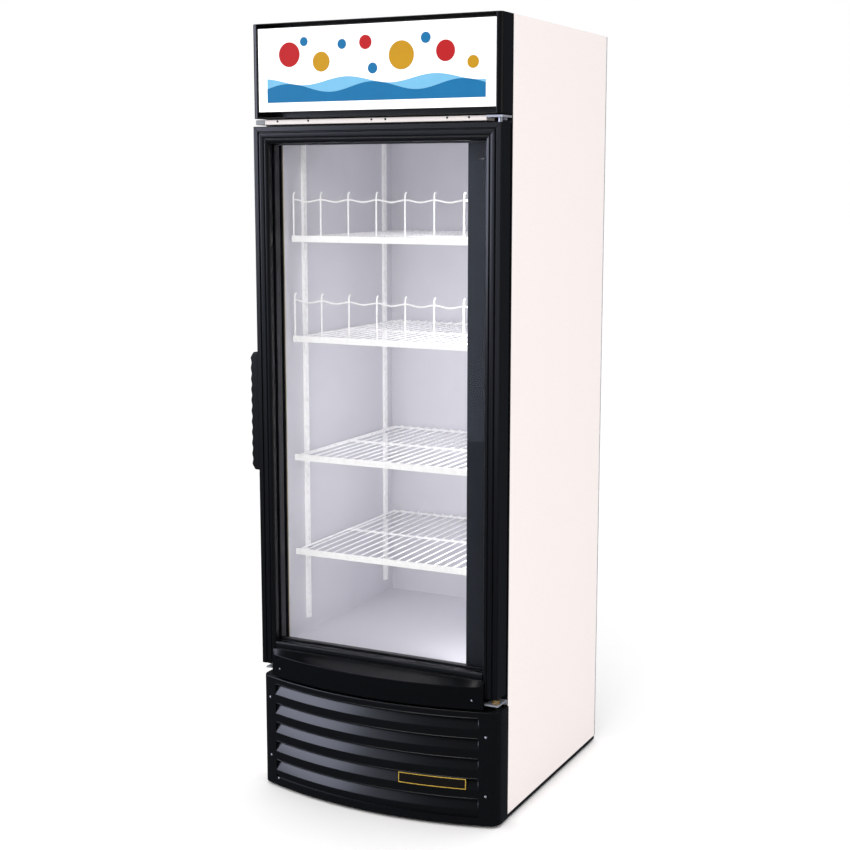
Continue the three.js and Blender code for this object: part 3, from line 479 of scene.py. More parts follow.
def finished(bm, name, body, material, replaces=(), edges=0.0, segments=2, outward=True):
    """Turns a bmesh in mm into a piece that rides on a body. edges rounds its sharp edges by that many mm."""
    if outward:
        bmesh.ops.recalc_face_normals(bm, faces=bm.faces)
    bmesh.ops.scale(bm, vec=(MM, MM, MM), verts=bm.verts)
    mesh = bpy.data.meshes.new(name)
    bm.to_mesh(mesh)
    bm.free()
    mesh.materials.append(material)
    piece = new_object(name, mesh)
    if edges:
        round_edges(piece, edges, segments)
    else:
        mesh.shade_smooth()
        mesh.set_sharp_from_angle(angle=SMOOTH_BELOW)
        piece.modifiers.new("normals", "WEIGHTED_NORMAL").keep_sharp = True
    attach(piece, body)
    if replaces:
        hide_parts(*replaces)
    print(name, len(mesh.polygons), "faces")
    return piece


def box_mm(node):
    """The lowest and highest corners of a CAD node, in mm."""
    return tuple(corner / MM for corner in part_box(node))


# %% [markdown]
# ## The header
# The header is a tray of black steel sheet with rounded upright corners. It could be built from five
# plates, but one box is quicker and has no seams: its front corners are bevelled, its front face is inset
# to leave the border, and the inner face is pushed back to make the hollow that the lamp sits in.

# %% Header tray
HEADER_BORDER = 14.5
HEADER_CORNER = 12
HEADER_WALL = 3.0
header_low, header_high = box_mm("header_housing")


def header_tray():
    """A box with two round corners and a hollow front."""
    bm = bmesh.new()
    block(bm, header_low, header_high)
    uprights = [e for e in bm.edges if all(v.co.y < header_low.y + 1 for v in e.verts)
                and abs(e.verts[0].co.z - e.verts[1].co.z) > 1]
    bevelled(bm, uprights, HEADER_CORNER, 6)
    front = min(bm.faces, key=lambda f: f.calc_center_median().y)
    bmesh.ops.inset_region(bm, faces=[front], thickness=HEADER_BORDER - HEADER_CORNER, use_even_offset=True)
    push(bm, [front], (0, header_high.y - header_low.y - HEADER_WALL, 0))
    return bm


finished(header_tray(), "header_tray", "cabinet", black_powder, ["header_housing"], edges=1.4,
         segments=3)

# %% [markdown]
# ## The picture on the sign
# The sheet itself is the CAD's. The picture lies on it as thin layers of ink, 0.3 mm thick so that they
# catch a real edge: a wave, a paler swell behind it, and a few bubbles. A straight strip is extruded in
# many steps, and a sine lifts its upper edge: that is the whole wave. Each bubble is a flat disc.

# %% Wave
sign_low, sign_high = box_mm("sign_panel")
sign_width = sign_high.x - sign_low.x
INK = 0.3
INK_GAP = 0.1
WAVE_MARGIN = 26
WAVE_STEPS = 72
CRESTS = 2.5


def ink_face(layer):
    """Where the back of a layer of ink lies."""
    return sign_low.y - INK_GAP - layer * INK


def wave(foot, height, swell, phase, layer):
    """A strip whose top edge is a wave, from one side of the sign's margin to the other."""
    bm = bmesh.new()
    start, face = sign_low.x + WAVE_MARGIN, ink_face(layer)
    base = sign_low.z + foot
    section = [(start, face, base), (start, face, base + height), (start, face - INK, base + height),
               (start, face - INK, base)]
    step = (sign_width - 2 * WAVE_MARGIN) / WAVE_STEPS
    for i, row in enumerate(extruded(bm, section, [(step, 0, 0)] * WAVE_STEPS)):
        lift = swell * math.sin(math.tau * CRESTS * i / WAVE_STEPS + phase)
        for vert in row:
            if vert.co.z > base + height / 2:
                vert.co.z += lift
    return bm


swell_mesh = wave(foot=26, height=46, swell=9, phase=1.9, layer=0)
wave_mesh = wave(foot=22, height=34, swell=11, phase=0.0, layer=1)
finished(swell_mesh, "sign_swell_print", "cabinet", ink_pale)
finished(wave_mesh, "sign_wave_print", "cabinet", ink_blue)

# %% Bubbles
BUBBLE_LAYER = 2
BUBBLES = {  # share of the sign's width, height above its foot, radius
    "red": (ink_red, [(0.14, 138, 30), (0.47, 160, 17), (0.8, 132, 25)]),
    "amber": (ink_amber, [(0.28, 118, 24), (0.62, 126, 34), (0.91, 104, 15)]),
    "blue": (ink_blue, [(0.37, 158, 12), (0.205, 168, 11), (0.72, 164, 13), (0.5, 98, 13)]),
}


def bubbles(places):
    """Discs of ink."""
    bm = bmesh.new()
    for across, up, radius in places:
        centre = Vector((sign_low.x + across * sign_width, ink_face(BUBBLE_LAYER), sign_low.z + up))
        bar(bm, centre, centre - Vector((0, INK, 0)), radius, sides=48)
    return bm


for colour, (ink, places) in BUBBLES.items():
    finished(bubbles(places), f"sign_{colour}_print", "cabinet", ink)

# %% [markdown]
# ## Screw heads
# Pan-head screws hold the lintel, the apron and the grille. One head is a low dome with a cross cut into
# it. Cutting a cross needs a boolean. At about 5 mm across, two crossed ridges lying in a shallow dish read
# the same, so the head is turned with a dish, and the cross is two small blocks standing in it.

# %% Screws
SCREW_RADIUS = 2.6
SCREW_SUNK = 0.4  # how far the head goes into the face under it


def screw(bm, place, facing, radius=SCREW_RADIUS):
    """Adds a pan-head screw at a place. facing is the way its head looks."""
    turn = Vector(facing).to_track_quat("Z", "Y").to_matrix().to_4x4()
    frame_at = Matrix.Translation(Vector(place)) @ turn
    height = radius * 0.5
    profile = [(0, -SCREW_SUNK), (radius, -SCREW_SUNK), (radius, height * 0.35),
               (radius * 0.82, height * 0.8), (radius * 0.5, height), (radius * 0.42, height * 0.55),
               (0, height * 0.5)]
    turned(bm, profile, frame_at, steps=20)
    reach, half_width = radius * 0.4, radius * 0.09
    for quarter in (0, math.pi / 2):
        slot_at = frame_at @ Matrix.Rotation(quarter, 4, "Z")
        arm = block(bm, (-reach, -half_width, height * 0.4), (reach, half_width, height * 0.8))
        bmesh.ops.transform(bm, matrix=slot_at, verts=arm)


def screws(name, body, material, places, radius=SCREW_RADIUS):
    """A row of screws that look forward."""
    bm = bmesh.new()
    for place in places:
        screw(bm, place, (0, -1, 0), radius)
    finished(bm, name, body, material)


LINTEL_SHARES = (0.1, 0.24, 0.52, 0.58, 0.84, 0.93)  # of the lintel's width
LINTEL_SCREW_DROP = 4
lintel_low, lintel_high = box_mm("lintel_strip")
lintel_width = lintel_high.x - lintel_low.x
lintel_places = [(lintel_low.x + lintel_width * share, lintel_low.y, lintel_high.z - LINTEL_SCREW_DROP)
                 for share in LINTEL_SHARES]
screws("lintel_screws", "cabinet", shell_enamel, lintel_places)

# %% Grey clip that closes the lintel's left end
CLIP_ENDS = (0.5, 27)  # from the lintel's left end
CLIP_FACES = (-1.6, -0.2)  # from the lintel's front, so in front of it
CLIP_INSET = 0.4  # from the lintel's top and bottom
clip_mesh = bmesh.new()
block(clip_mesh, (lintel_low.x + CLIP_ENDS[0], lintel_low.y + CLIP_FACES[0], lintel_low.z + CLIP_INSET),
      (lintel_low.x + CLIP_ENDS[1], lintel_low.y + CLIP_FACES[1], lintel_high.z - CLIP_INSET))
finished(clip_mesh, "lintel_end_clip", "cabinet", grey_nylon, edges=0.5)

# %% [markdown]
# ## The door frame
# The frame is one vinyl extrusion, cut to four lengths and welded at the mitres. So it is made the way the
# factory makes it: one section, drawn as steps and ridges from the outer edge to the glass, is extruded
# along each side, and a mitre is a shear of the end section. The rebate behind the ridges holds the glass.

# %% The extrusion's section
# Each point is (distance in from the door's edge, depth behind its front), in mm.
FRAME_SECTION = [
    (0, 54), (0, 1.5), (1.5, 0), (12.2, 0), (13.2, 1.2), (13.4, 3.4), (15.2, 3.4), (15.8, 1.6), (17.0, 0.4),
    (18.5, 0), (26.0, 0.5), (28.2, 1.6), (29.0, 3.4), (30.4, 3.4), (31.0, 1.8), (32.4, 1.0), (37.5, 1.8),
    (40.2, 3.4), (41.6, 5.6), (42, 8), (42, 19.6), (33.6, 19.6), (33.6, 40.4), (42, 40.4), (42, 54),
]
FRAME_WIDTH = 42
REBATE = 33  # the points further in than this belong to the rebate and the glass edge
door_low = box_mm("door_stile_left")[0]
door_high = box_mm("door_stile_right")[1]
print("door from", [round(v) for v in door_low], "to", [round(v) for v in door_high])


def member(bm, section, start, end, inward, mitres, gap):
    """Extrudes a section from start to end. A mitred end is sheared to 45 degrees, short by gap."""
    start, end, inward = Vector(start), Vector(end), Vector(inward)
    outline = [start + inward * across + Vector((0, depth, 0)) for across, depth in section]
    rows = extruded(bm, outline, [end - start])
    along = (end - start).normalized()
    for row, corner, way, mitred in zip(rows, (start, end), (along, -along), mitres):
        for vert in row if mitred else ():
            vert.co += way * ((vert.co - corner).dot(inward) + gap)


# %% The four members
# The bottom rail is taller: its ridges are spread out, and its rebate keeps its size.
MITRE_GAP = 0.2
LOW_RAIL_HEIGHT = 64
taller, spread = LOW_RAIL_HEIGHT - FRAME_WIDTH, LOW_RAIL_HEIGHT / FRAME_WIDTH
low_rail_section = [(across * spread if across < REBATE else across + taller, depth)
                    for across, depth in FRAME_SECTION]
left, right, front = door_low.x, door_high.x, door_low.y
bottom, top = door_low.z, door_high.z
rail_left, rail_right = left + FRAME_WIDTH + MITRE_GAP, right - FRAME_WIDTH - MITRE_GAP
MEMBERS = [  # name, CAD node, section, both ends (x, z), the way to the glass, and which ends are mitred
    ("left", "door_stile_left", FRAME_SECTION, (left, bottom), (left, top), (1, 0, 0), (False, True)),
    ("right", "door_stile_right", FRAME_SECTION, (right, bottom), (right, top), (-1, 0, 0), (False, True)),
    ("top", "door_rail_top", FRAME_SECTION, (left, top), (right, top), (0, 0, -1), (True, True)),
    ("bottom", "door_rail_bottom", low_rail_section, (rail_left, bottom), (rail_right, bottom), (0, 0, 1),
     (False, False)),
]
for side, node, section, (x1, z1), (x2, z2), inward, mitres in MEMBERS:
    member_mesh = bmesh.new()
    member(member_mesh, section, (x1, front, z1), (x2, front, z2), inward, mitres, MITRE_GAP)
    finished(member_mesh, f"door_frame_{side}", "door", door_vinyl, [node], edges=0.35)

# %% [markdown]
# ## The gasket
# The gasket seals the door by a magnet inside a soft bellows. Its section is a flat foot that clips into
# the door, a folded bellows and a flat nose with the magnet. It goes right round the door, mitred at four
# corners.

# %% Bellows gasket
# Each point is (distance in from the gasket's edge, distance behind its rear face, so below zero), in mm.
GASKET_SECTION = [
    (0.5, -7.2), (0.5, -5.4), (2.6, -4.6), (1.0, -3.6), (2.0, -0.2), (20, -0.2), (21.5, -3.6), (19.6, -4.6),
    (23, -5.4), (25.5, -6.0), (25.5, -7.2),
]


def gasket():
    """Four lengths that meet at the corners."""
    low, high = box_mm("door_gasket")
    corners = [(low.x, high.y, low.z), (low.x, high.y, high.z), (high.x, high.y, high.z),
               (high.x, high.y, low.z)]
    inwards = [(1, 0, 0), (0, 0, -1), (-1, 0, 0), (0, 0, 1)]
    bm = bmesh.new()
    for start, end, inward in zip(corners, corners[1:] + corners[:1], inwards):
        member(bm, GASKET_SECTION, start, end, inward, (True, True), MITRE_GAP / 2)
    return bm


finished(gasket(), "door_gasket_bellows", "door", gasket_vinyl, ["door_gasket"])

# %% [markdown]
# ## The bowed front
# The apron and the grille bulge forward in one shallow arc of about 1 m radius. The arc is drawn once, as a
# function of the distance across the door, and both pieces take their shape from it.

# %% The bow
BOW_RADIUS = 1029
grille_low, grille_high = box_mm("grille")
middle = (grille_low.x + grille_high.x) / 2
bow_centre = grille_low.y + BOW_RADIUS
FACE_GAP = 0.3


def bow_depth(x):
    """How far the bow is behind the door's flat face at a place across the door. It is below zero."""
    return bow_centre - math.sqrt(BOW_RADIUS**2 - (x - middle) ** 2) - front


print("the bow stands", round(-bow_depth(middle)), "mm in front of the door's flat face")

# %% [markdown]
# ## The apron
# The apron hangs in front of the bottom rail: a ledge slopes from the door's flat face to the bow, and a
# skirt drops from it. Its section is extruded in 48 steps across the door as a straight bar. Then every
# point that belongs to the bow is moved to it, which bends the ledge and the skirt and leaves the flat back
# alone.

# %% Apron
APRON_SKIN = 3.5
APRON_STEPS = 48
APRON_LAP = 5  # how far the back of the ledge stops above the door's lower edge
SHOULDER = 15  # how far below the ledge's top the bow starts
PARK = 100  # a distance that marks the points which belong to the bow until they are moved


def apron():
    """A ledge and a skirt, extruded straight and then bent to the bow."""
    bm = bmesh.new()
    low, high = box_mm("door_apron")
    back, lap = front - FACE_GAP, bottom + APRON_LAP
    skirt, inside = front - PARK, front - PARK + APRON_SKIN
    outline = [(back, high.z), (skirt, high.z - SHOULDER), (skirt, low.z), (inside, low.z), (inside, lap),
               (back, lap)]
    step = (high.x - low.x) / APRON_STEPS
    extruded(bm, [Vector((low.x, y, z)) for y, z in outline], [(step, 0, 0)] * APRON_STEPS)
    for vert in bm.verts:
        if vert.co.y < front - PARK / 2:
            vert.co.y += PARK + bow_depth(vert.co.x)
    return bm


finished(apron(), "door_apron_moulding", "door", apron_vinyl, ["door_apron"], edges=1.4,
         segments=3)

# %% Apron screws
APRON_SCREW_REACH = 280  # from the middle
APRON_SCREW_HEIGHT = 335  # above the floor
apron_places = [(x, front + bow_depth(x), APRON_SCREW_HEIGHT)
                for x in (middle - APRON_SCREW_REACH, middle + APRON_SCREW_REACH)]
screws("apron_screws", "door", zinc_plate, apron_places, radius=2.2)

# %% [markdown]
# ## The grille
# The grille is one moulding: a bowed wall with round corners, five louvres and a top. Cutting slots in a
# curved wall is awkward, so it is made flat and wrapped afterwards, like a label on a bottle. The flat
# sheet is cut by planes, the slot faces are pushed in, and the lower edge of each is lifted to make the
# ramp that throws air down. `wrapped` gives the place of any point of the flat sheet on the bowed plan.

# %% The plan that the flat sheet is wrapped round
CORNER = 28
GRILLE_HALF = (grille_high.x - grille_low.x) / 2
corner_x = GRILLE_HALF - CORNER
corner_y = bow_centre - math.sqrt((BOW_RADIUS - CORNER) ** 2 - corner_x**2)
swing = math.asin(corner_x / (BOW_RADIUS - CORNER))
front_run = BOW_RADIUS * swing
corner_run = CORNER * (math.pi / 2 - swing)
side_run = grille_high.y - corner_y
sheet_run = front_run + corner_run + side_run


def wrapped(along, inward):
    """The place of a point that is so far along the sheet from its middle, and so far behind its skin."""
    side, along = math.copysign(1, along), abs(along)
    if along <= front_run:
        angle = along / BOW_RADIUS
        reach = BOW_RADIUS - inward
        return middle + side * reach * math.sin(angle), bow_centre - reach * math.cos(angle)
    if along <= front_run + corner_run:
        angle = swing + (along - front_run) / CORNER
        reach = CORNER - inward
        return middle + side * (corner_x + reach * math.sin(angle)), corner_y - reach * math.cos(angle)
    return middle + side * (GRILLE_HALF - inward), corner_y + along - front_run - corner_run


def wrap(bm):
    """Wraps a flat piece round the plan. X runs along the sheet, and Y goes inwards from its skin."""
    for vert in bm.verts:
        vert.co.x, vert.co.y = wrapped(vert.co.x, vert.co.y)


print("the flat sheet is", round(2 * sheet_run), "mm long")

# %% Louvres and groove in the flat sheet
FIRST_LIP = 49  # above the floor
LOUVRE_PITCH = 52.7
LOUVRES = [FIRST_LIP + LOUVRE_PITCH * i for i in range(5)]  # height of each lower lip
LOUVRE_HEIGHT = 27
LOUVRE_HALF = 302  # half of its length along the sheet
RAMP_DEPTH = 15  # how far the ramp goes in
RAMP_RISE = 33  # from the lower lip to the top of the ramp
SLIT = 9  # height of the air gap behind the top of each ramp
GROOVE = (29.0, 37.0, 4.0)  # low edge, high edge and depth of the line under the louvres
ON_SKIN = 0.01  # points nearer to the skin than this belong to it
UNBENT = 0.9  # a face lies in the flat sheet if the y of its normal is beyond this


def push_in(bm, low, high, depth, rise=0.0, slit=None):
    """Pushes the sheet in between two heights, and lifts its lower inner edge by rise, above an open slit."""
    places = {face: face.calc_center_median() for face in bm.faces if abs(face.normal.y) > UNBENT}
    chosen = [face for face, place in places.items()
              if low < place.z < high and place.y < ON_SKIN and abs(place.x) < LOUVRE_HALF]
    faces, inner = push(bm, chosen, (0, depth, 0))
    if slit:
        for vert in inner:
            vert.co.z = low + rise + (slit if vert.co.z > low + 0.1 else 0)
        bmesh.ops.delete(bm, geom=faces, context="FACES_ONLY")


# %% The flat sheet
BOW_STEPS = 20  # on each side of the middle
CORNER_STEPS = 8
LIP_ROUND = 1.0
FACES_FRONT = 0.95  # a flat band looks forward by more than this, and a lip or a ramp by less


def flat_grille():
    """The sheet before it is wrapped, cut into bands, with its louvres and its groove pushed in."""
    bm = bmesh.new()
    bmesh.ops.create_grid(bm, x_segments=1, y_segments=1, size=0.5)
    bmesh.ops.rotate(bm, cent=(0, 0, 0), matrix=Matrix.Rotation(math.pi / 2, 3, "X"), verts=bm.verts)
    bmesh.ops.scale(bm, vec=(2 * sheet_run, 1, grille_high.z - grille_low.z), verts=bm.verts)
    bmesh.ops.translate(bm, vec=(0, 0, (grille_high.z + grille_low.z) / 2), verts=bm.verts)
    for height in [*GROOVE[:2], *LOUVRES, *(lip + LOUVRE_HEIGHT for lip in LOUVRES)]:
        cut(bm, (0, 0, height), (0, 0, 1))
    lengths = [front_run * i / BOW_STEPS for i in range(BOW_STEPS + 1)] + [LOUVRE_HALF]
    lengths += [front_run + corner_run * i / CORNER_STEPS for i in range(1, CORNER_STEPS + 1)]
    for length in lengths:
        cut(bm, (-length, 0, 0), (1, 0, 0))
        cut(bm, (length, 0, 0), (1, 0, 0))
    bm.normal_update()
    for lip in LOUVRES:
        push_in(bm, lip, lip + LOUVRE_HEIGHT, RAMP_DEPTH, RAMP_RISE, SLIT)
    push_in(bm, *GROOVE)
    rims = [e for e in bm.edges if all(abs(v.co.y) < ON_SKIN for v in e.verts)
            and any(abs(f.normal.y) < FACES_FRONT for f in e.link_faces)]
    bevelled(bm, rims, LIP_ROUND, 2)
    return bm


# %% Wrap the grille and close its top
GRILLE_THICKNESS = 2.6
LID_ROUND = 2.4


def grille():
    """The wrapped sheet with a lid, whose outer edge is rounded."""
    bm = flat_grille()
    rim = sorted((v for v in bm.verts if v.co.z > grille_high.z - ON_SKIN and abs(v.co.y) < ON_SKIN),
                 key=lambda v: v.co.x)
    wrap(bm)
    lid = bm.faces.new(rim)
    bm.normal_update()
    if lid.normal.z < 0:
        lid.normal_flip()
    bevelled(bm, [e for e in lid.edges if len(e.link_faces) == 2], LID_ROUND, 4)
    return bm


louvred = finished(grille(), "louvred_grille", "cabinet", grille_abs, ["grille"],
                   outward=False)
wall = louvred.modifiers.new("wall", "SOLIDIFY")
wall.thickness = GRILLE_THICKNESS * MM
wall.offset = -1
louvred.modifiers.move(1, 0)  # the wall comes before the normals are weighted

# %% Grille screws
GRILLE_SCREW_RADIUS = 3.0
# Each is (share of the way from the middle to the corner, height above the floor).
GRILLE_SCREWS = [(-0.975, 248), (-0.97, 87), (-0.885, 28), (0.965, 241), (0.965, 86)]


def grille_screws():
    """Screws that look out along the bow's radius."""
    bm = bmesh.new()
    for share, height in GRILLE_SCREWS:
        x, y = wrapped(share * front_run, 0)
        screw(bm, (x, y, height), Vector((x - middle, y - bow_centre, 0)), GRILLE_SCREW_RADIUS)
    return bm


finished(grille_screws(), "grille_screws", "cabinet", zinc_plate)

# %% [markdown]
# ## The badge plate
# A black lacquered plate with a raised gold rim sits on the grille. It is left blank. The plate is made
# flat with enough cuts across it to bend, and the same wrap lays it on the bow.

# %% Badge
BADGE_RIM = 2.0
RIM_MARGIN = 1.2
BADGE_FACE = -1.9  # from the grille's skin, so in front of it
RIM_FACE = -2.5
BADGE_STEPS = 12
badge_low, badge_high = (corner - Vector((middle, 0, 0)) for corner in box_mm("grille_badge"))


def flat_plate(bm, low, high):
    """Adds a plate between two corners of the flat sheet, with cuts across it so that it can bend."""
    block(bm, low, high)
    for i in range(1, BADGE_STEPS):
        cut(bm, (low[0] + (high[0] - low[0]) * i / BADGE_STEPS, 0, 0), (1, 0, 0))


def badge_plate():
    """The blank plate."""
    bm = bmesh.new()
    flat_plate(bm, (badge_low.x, BADGE_FACE, badge_low.z), (badge_high.x, -FACE_GAP, badge_high.z))
    wrap(bm)
    return bm


def badge_rim():
    """Two long strips that bend, and two short ones between them."""
    bm = bmesh.new()
    low_x, high_x = badge_low.x + RIM_MARGIN, badge_high.x - RIM_MARGIN
    low_z, high_z = badge_low.z + RIM_MARGIN, badge_high.z - RIM_MARGIN
    for z in (low_z, high_z - BADGE_RIM):
        flat_plate(bm, (low_x, RIM_FACE, z), (high_x, BADGE_FACE, z + BADGE_RIM))
    for x in (low_x, high_x - BADGE_RIM):
        block(bm, (x, RIM_FACE, low_z + BADGE_RIM), (x + BADGE_RIM, BADGE_FACE, high_z - BADGE_RIM))
    wrap(bm)
    return bm


finished(badge_plate(), "badge_blank", "cabinet", badge_black, ["grille_badge"], edges=0.4)
finished(badge_rim(), "badge_gold_rim", "cabinet", gold_foil, edges=0.15)

# %% [markdown]
# ## The grip
# The grip is a moulded bar on the door's free edge, with ten finger ripples down its outer side. A box is
# cut into many slices, and the outer edge of each slice is moved by a cosine. A loft would need every
# section, and this needs only the formula. Beyond the ripples the two ends taper towards the door.

# %% Ripple grip
RIPPLES = 10
RIPPLE_DEPTH = 2.5
RIPPLE_SLICES = 10  # to each ripple
GRIP_END = 14
GRIP_TAPER = 9


def grip():
    """A bar whose outer side is a row of ripples."""
    bm = bmesh.new()
    low, high = box_mm("door_handle")
    block(bm, low, high)
    slices = RIPPLES * RIPPLE_SLICES
    start, run = low.z + GRIP_END, high.z - low.z - 2 * GRIP_END
    for i in range(slices + 1):
        cut(bm, (0, 0, start + run * i / slices), (0, 0, 1))
    for vert in bm.verts:
        share = (vert.co.z - start) / run
        if vert.co.x < low.x + 1:
            ripple = RIPPLE_DEPTH / 2 * (1 - math.cos(math.tau * RIPPLES * share))
            vert.co.x += ripple if 0 <= share <= 1 else GRIP_TAPER
    return bm


finished(grip(), "ripple_grip", "door", door_vinyl, ["door_handle"], edges=2.4, segments=4)

# %% [markdown]
# ## The shelves
# Each shelf is welded from steel wire and coated white: thin wires run front to back about 28 mm apart, two
# thicker ones carry them, and a flat rail closes the front. The upper two shelves have a guard of eight
# bent uprights with one scalloped wire, which stops bottles from tipping out when the door is pulled.

# %% Guard wires
GUARD_UPRIGHTS = 8
GUARD_WIRE = 2.3  # this and the other wire sizes are radii
GUARD_MARGIN = 4  # from the shelf's ends to the outer uprights, and from its foot to theirs
GUARD_SETBACK = 2.2  # from the back of the front rail
GUARD_BEND = [(0, 14), (0.8, 8), (3, 4), (7, 2)]  # back from the upright, and down from its top
SCALLOP_WIRE = 2.1
SCALLOP_HEIGHT = 92  # above the shelf
SCALLOP_SETBACK = 4.0
SCALLOP_DIP = 6


def scallop(left_end, right_end, y, z):
    """A wire that hangs a little between each pair of uprights."""
    gaps = GUARD_UPRIGHTS - 1
    steps = gaps * 10
    return [(left_end + (right_end - left_end) * i / steps, y,
             z - SCALLOP_DIP * math.sin(math.pi * gaps * i / steps) ** 2) for i in range(steps + 1)]


def guard(bm, low, high, level, rail_back):
    """Adds uprights with bent tops, and one scalloped wire behind them."""
    y = rail_back + GUARD_SETBACK
    spacing = (high.x - low.x - 2 * GUARD_MARGIN) / (GUARD_UPRIGHTS - 1)
    uprights = [low.x + GUARD_MARGIN + spacing * i for i in range(GUARD_UPRIGHTS)]
    wires(bm, [[(x, y, low.z + GUARD_MARGIN), *((x, y + back, high.z - down) for back, down in GUARD_BEND)]
               for x in uprights], GUARD_WIRE)
    wires(bm, [scallop(uprights[0], uprights[-1], y + SCALLOP_SETBACK, level + SCALLOP_HEIGHT)], SCALLOP_WIRE)


# %% Shelf wires
WIRE_PITCH = 28
THIN_WIRE = 1.9
THICK_WIRE = 3.0
WELD_SINK = 0.4  # how far the welded wires go into each other
RAIL_THICKNESS = 3.4
RAIL_HEIGHT = 17
REAR_CARRIER = 6  # from the shelf's rear edge


def shelf_wires(low, high, level, guarded):
    """Thin wires on two carriers, a thick wire down each side, and a guard if the shelf has one."""
    bm = bmesh.new()
    rail_back = low.y + RAIL_THICKNESS
    count = round((high.x - low.x) / WIRE_PITCH)
    inner = [low.x + THICK_WIRE + (high.x - low.x - 2 * THICK_WIRE) * i / count for i in range(1, count)]
    z = level - THIN_WIRE
    wires(bm, [[(x, rail_back, z), (x, high.y - 2, z)] for x in inner], THIN_WIRE)
    z = level - 2 * THIN_WIRE - THICK_WIRE + WELD_SINK
    sides = (low.x + THICK_WIRE, high.x - THICK_WIRE)
    carriers = [[(sides[0], y, z), (sides[1], y, z)] for y in ((low.y + high.y) / 2, high.y - REAR_CARRIER)]
    wires(bm, carriers + [[(x, low.y + 2, z), (x, high.y - 3, z)] for x in sides], THICK_WIRE)
    if guarded:
        guard(bm, low, high, level, rail_back)
    return bm


for i in range(1, 5):
    name = f"shelf_{i}"
    low, high = box_mm(name)
    level = low.z + RAIL_HEIGHT
    guarded = high.z > level + RAIL_HEIGHT
    finished(shelf_wires(low, high, level, guarded), f"{name}_wires", name, shelf_epoxy, [name])
    rail_mesh = bmesh.new()
    block(rail_mesh, low, (high.x, low.y + RAIL_THICKNESS, level))
    finished(rail_mesh, f"{name}_front_rail", name, shelf_epoxy, edges=1.2, segments=3)
    print(name, "has a guard" if guarded else "is open at the front")

# %% [markdown]
# ## Standards and clips
# Four upright standards are screwed to the walls. Each is a channel punched with slots an inch apart, and
# each shelf clip hooks into them. The slots are faces of a thin box that are pushed in.

# %% Slotted standards
SLOT_PITCH = 25.4
SLOT_LENGTH = 11  # along the standard
SLOT_HALF_WIDTH = 2.2
SLOT_DEPTH = 3
FIRST_SLOT = 12  # from the standard's foot
UNSLOTTED = 20  # length of the two ends together


def standard_face(node):
    """The way from a standard into the fridge, the x of its face, and the y of its middle."""
    low, high = box_mm(node)
    inward = 1 if low.x < middle else -1
    return inward, high.x if inward > 0 else low.x, (low.y + high.y) / 2


def standard(node):
    """A slotted standard. Its slots are on the face that looks into the fridge."""
    low, high = box_mm(node)
    inward, face_x, centre_y = standard_face(node)
    bm = bmesh.new()
    block(bm, low, high)
    first, count = low.z + FIRST_SLOT, int((high.z - low.z - UNSLOTTED) / SLOT_PITCH)
    for i in range(count):
        cut(bm, (0, 0, first + SLOT_PITCH * i), (0, 0, 1))
        cut(bm, (0, 0, first + SLOT_PITCH * i + SLOT_LENGTH), (0, 0, 1))
    for side in (-1, 1):
        cut(bm, (0, centre_y + side * SLOT_HALF_WIDTH, 0), (0, 1, 0))
    bm.normal_update()
    slots = []
    for face in bm.faces:
        place = face.calc_center_median()
        up = place.z - first
        in_slot = 0 < up < SLOT_PITCH * count and up % SLOT_PITCH < SLOT_LENGTH
        if in_slot and abs(place.x - face_x) < ON_SKIN and abs(place.y - centre_y) < 0.1:
            slots.append(face)
    push(bm, slots, (-inward * SLOT_DEPTH, 0, 0))
    return bm


standards = [node for node in nodes if node.startswith("pilaster")]
for node in sorted(standards):
    name = node.replace("pilaster", "slotted_standard")
    finished(standard(node), name, "cabinet", shelf_epoxy, [node])

# %% Shelf clips
CLIP_REACH = 13
CLIP_HEIGHT = 12
CLIP_HALF_WIDTH = 5
CLIP_SHEET = 1.6
CLIP_PLATE = 1.4
CLIP_GAP = 0.2


def shelf_clips():
    """A folded steel tongue under each corner of each shelf, and the plate that it hangs from."""
    bm = bmesh.new()
    for node in standards:
        inward, face_x, y = standard_face(node)
        front_y, rear_y = y - CLIP_HALF_WIDTH, y + CLIP_HALF_WIDTH
        tongue = sorted((face_x, face_x + inward * CLIP_REACH))
        plate = sorted((face_x, face_x + inward * CLIP_PLATE))
        for i in range(1, 5):
            seat = box_mm(f"shelf_{i}")[0].z + RAIL_HEIGHT - 2 * THIN_WIRE - 2 * THICK_WIRE - CLIP_GAP
            block(bm, (tongue[0], front_y, seat - CLIP_SHEET), (tongue[1], rear_y, seat))
            block(bm, (plate[0], front_y, seat - CLIP_HEIGHT), (plate[1], rear_y, seat - CLIP_SHEET))
    return bm


finished(shelf_clips(), "shelf_clips", "cabinet", zinc_plate, edges=0.3)

# %% [markdown]
# ## Small fittings
# Two brass washers sit on the lower hinge pin, under the door. In the machine space the compressor's shell
# gets the stubs of its three copper tubes, which are bent wires of a larger radius.

# %% Hinge washers
HINGE_AXIS = (342, -306.5)  # x and y of the pin
WASHER_HEIGHTS = (325.5, 331.5)  # above the floor
WASHER = [(5.3, 0), (9.0, 0), (9.0, 2.4), (5.3, 2.4), (5.3, 0)]


def hinge_washers():
    """Rings round the pin."""
    bm = bmesh.new()
    for height in WASHER_HEIGHTS:
        turned(bm, WASHER, Matrix.Translation((*HINGE_AXIS, height)), steps=36)
    return bm


finished(hinge_washers(), "hinge_washers", "cabinet", turned_brass, edges=0.3)

# %% Compressor tubes
TUBES = [(-24, 30, 4.8), (22, 38, 3.2), (34, -10, 4.0)]  # across, up and radius, from the shell's middle
TUBE_PATH = [(-22, 0), (14, 0), (20, 5), (22, 30)]  # out from the shell's rear, and up


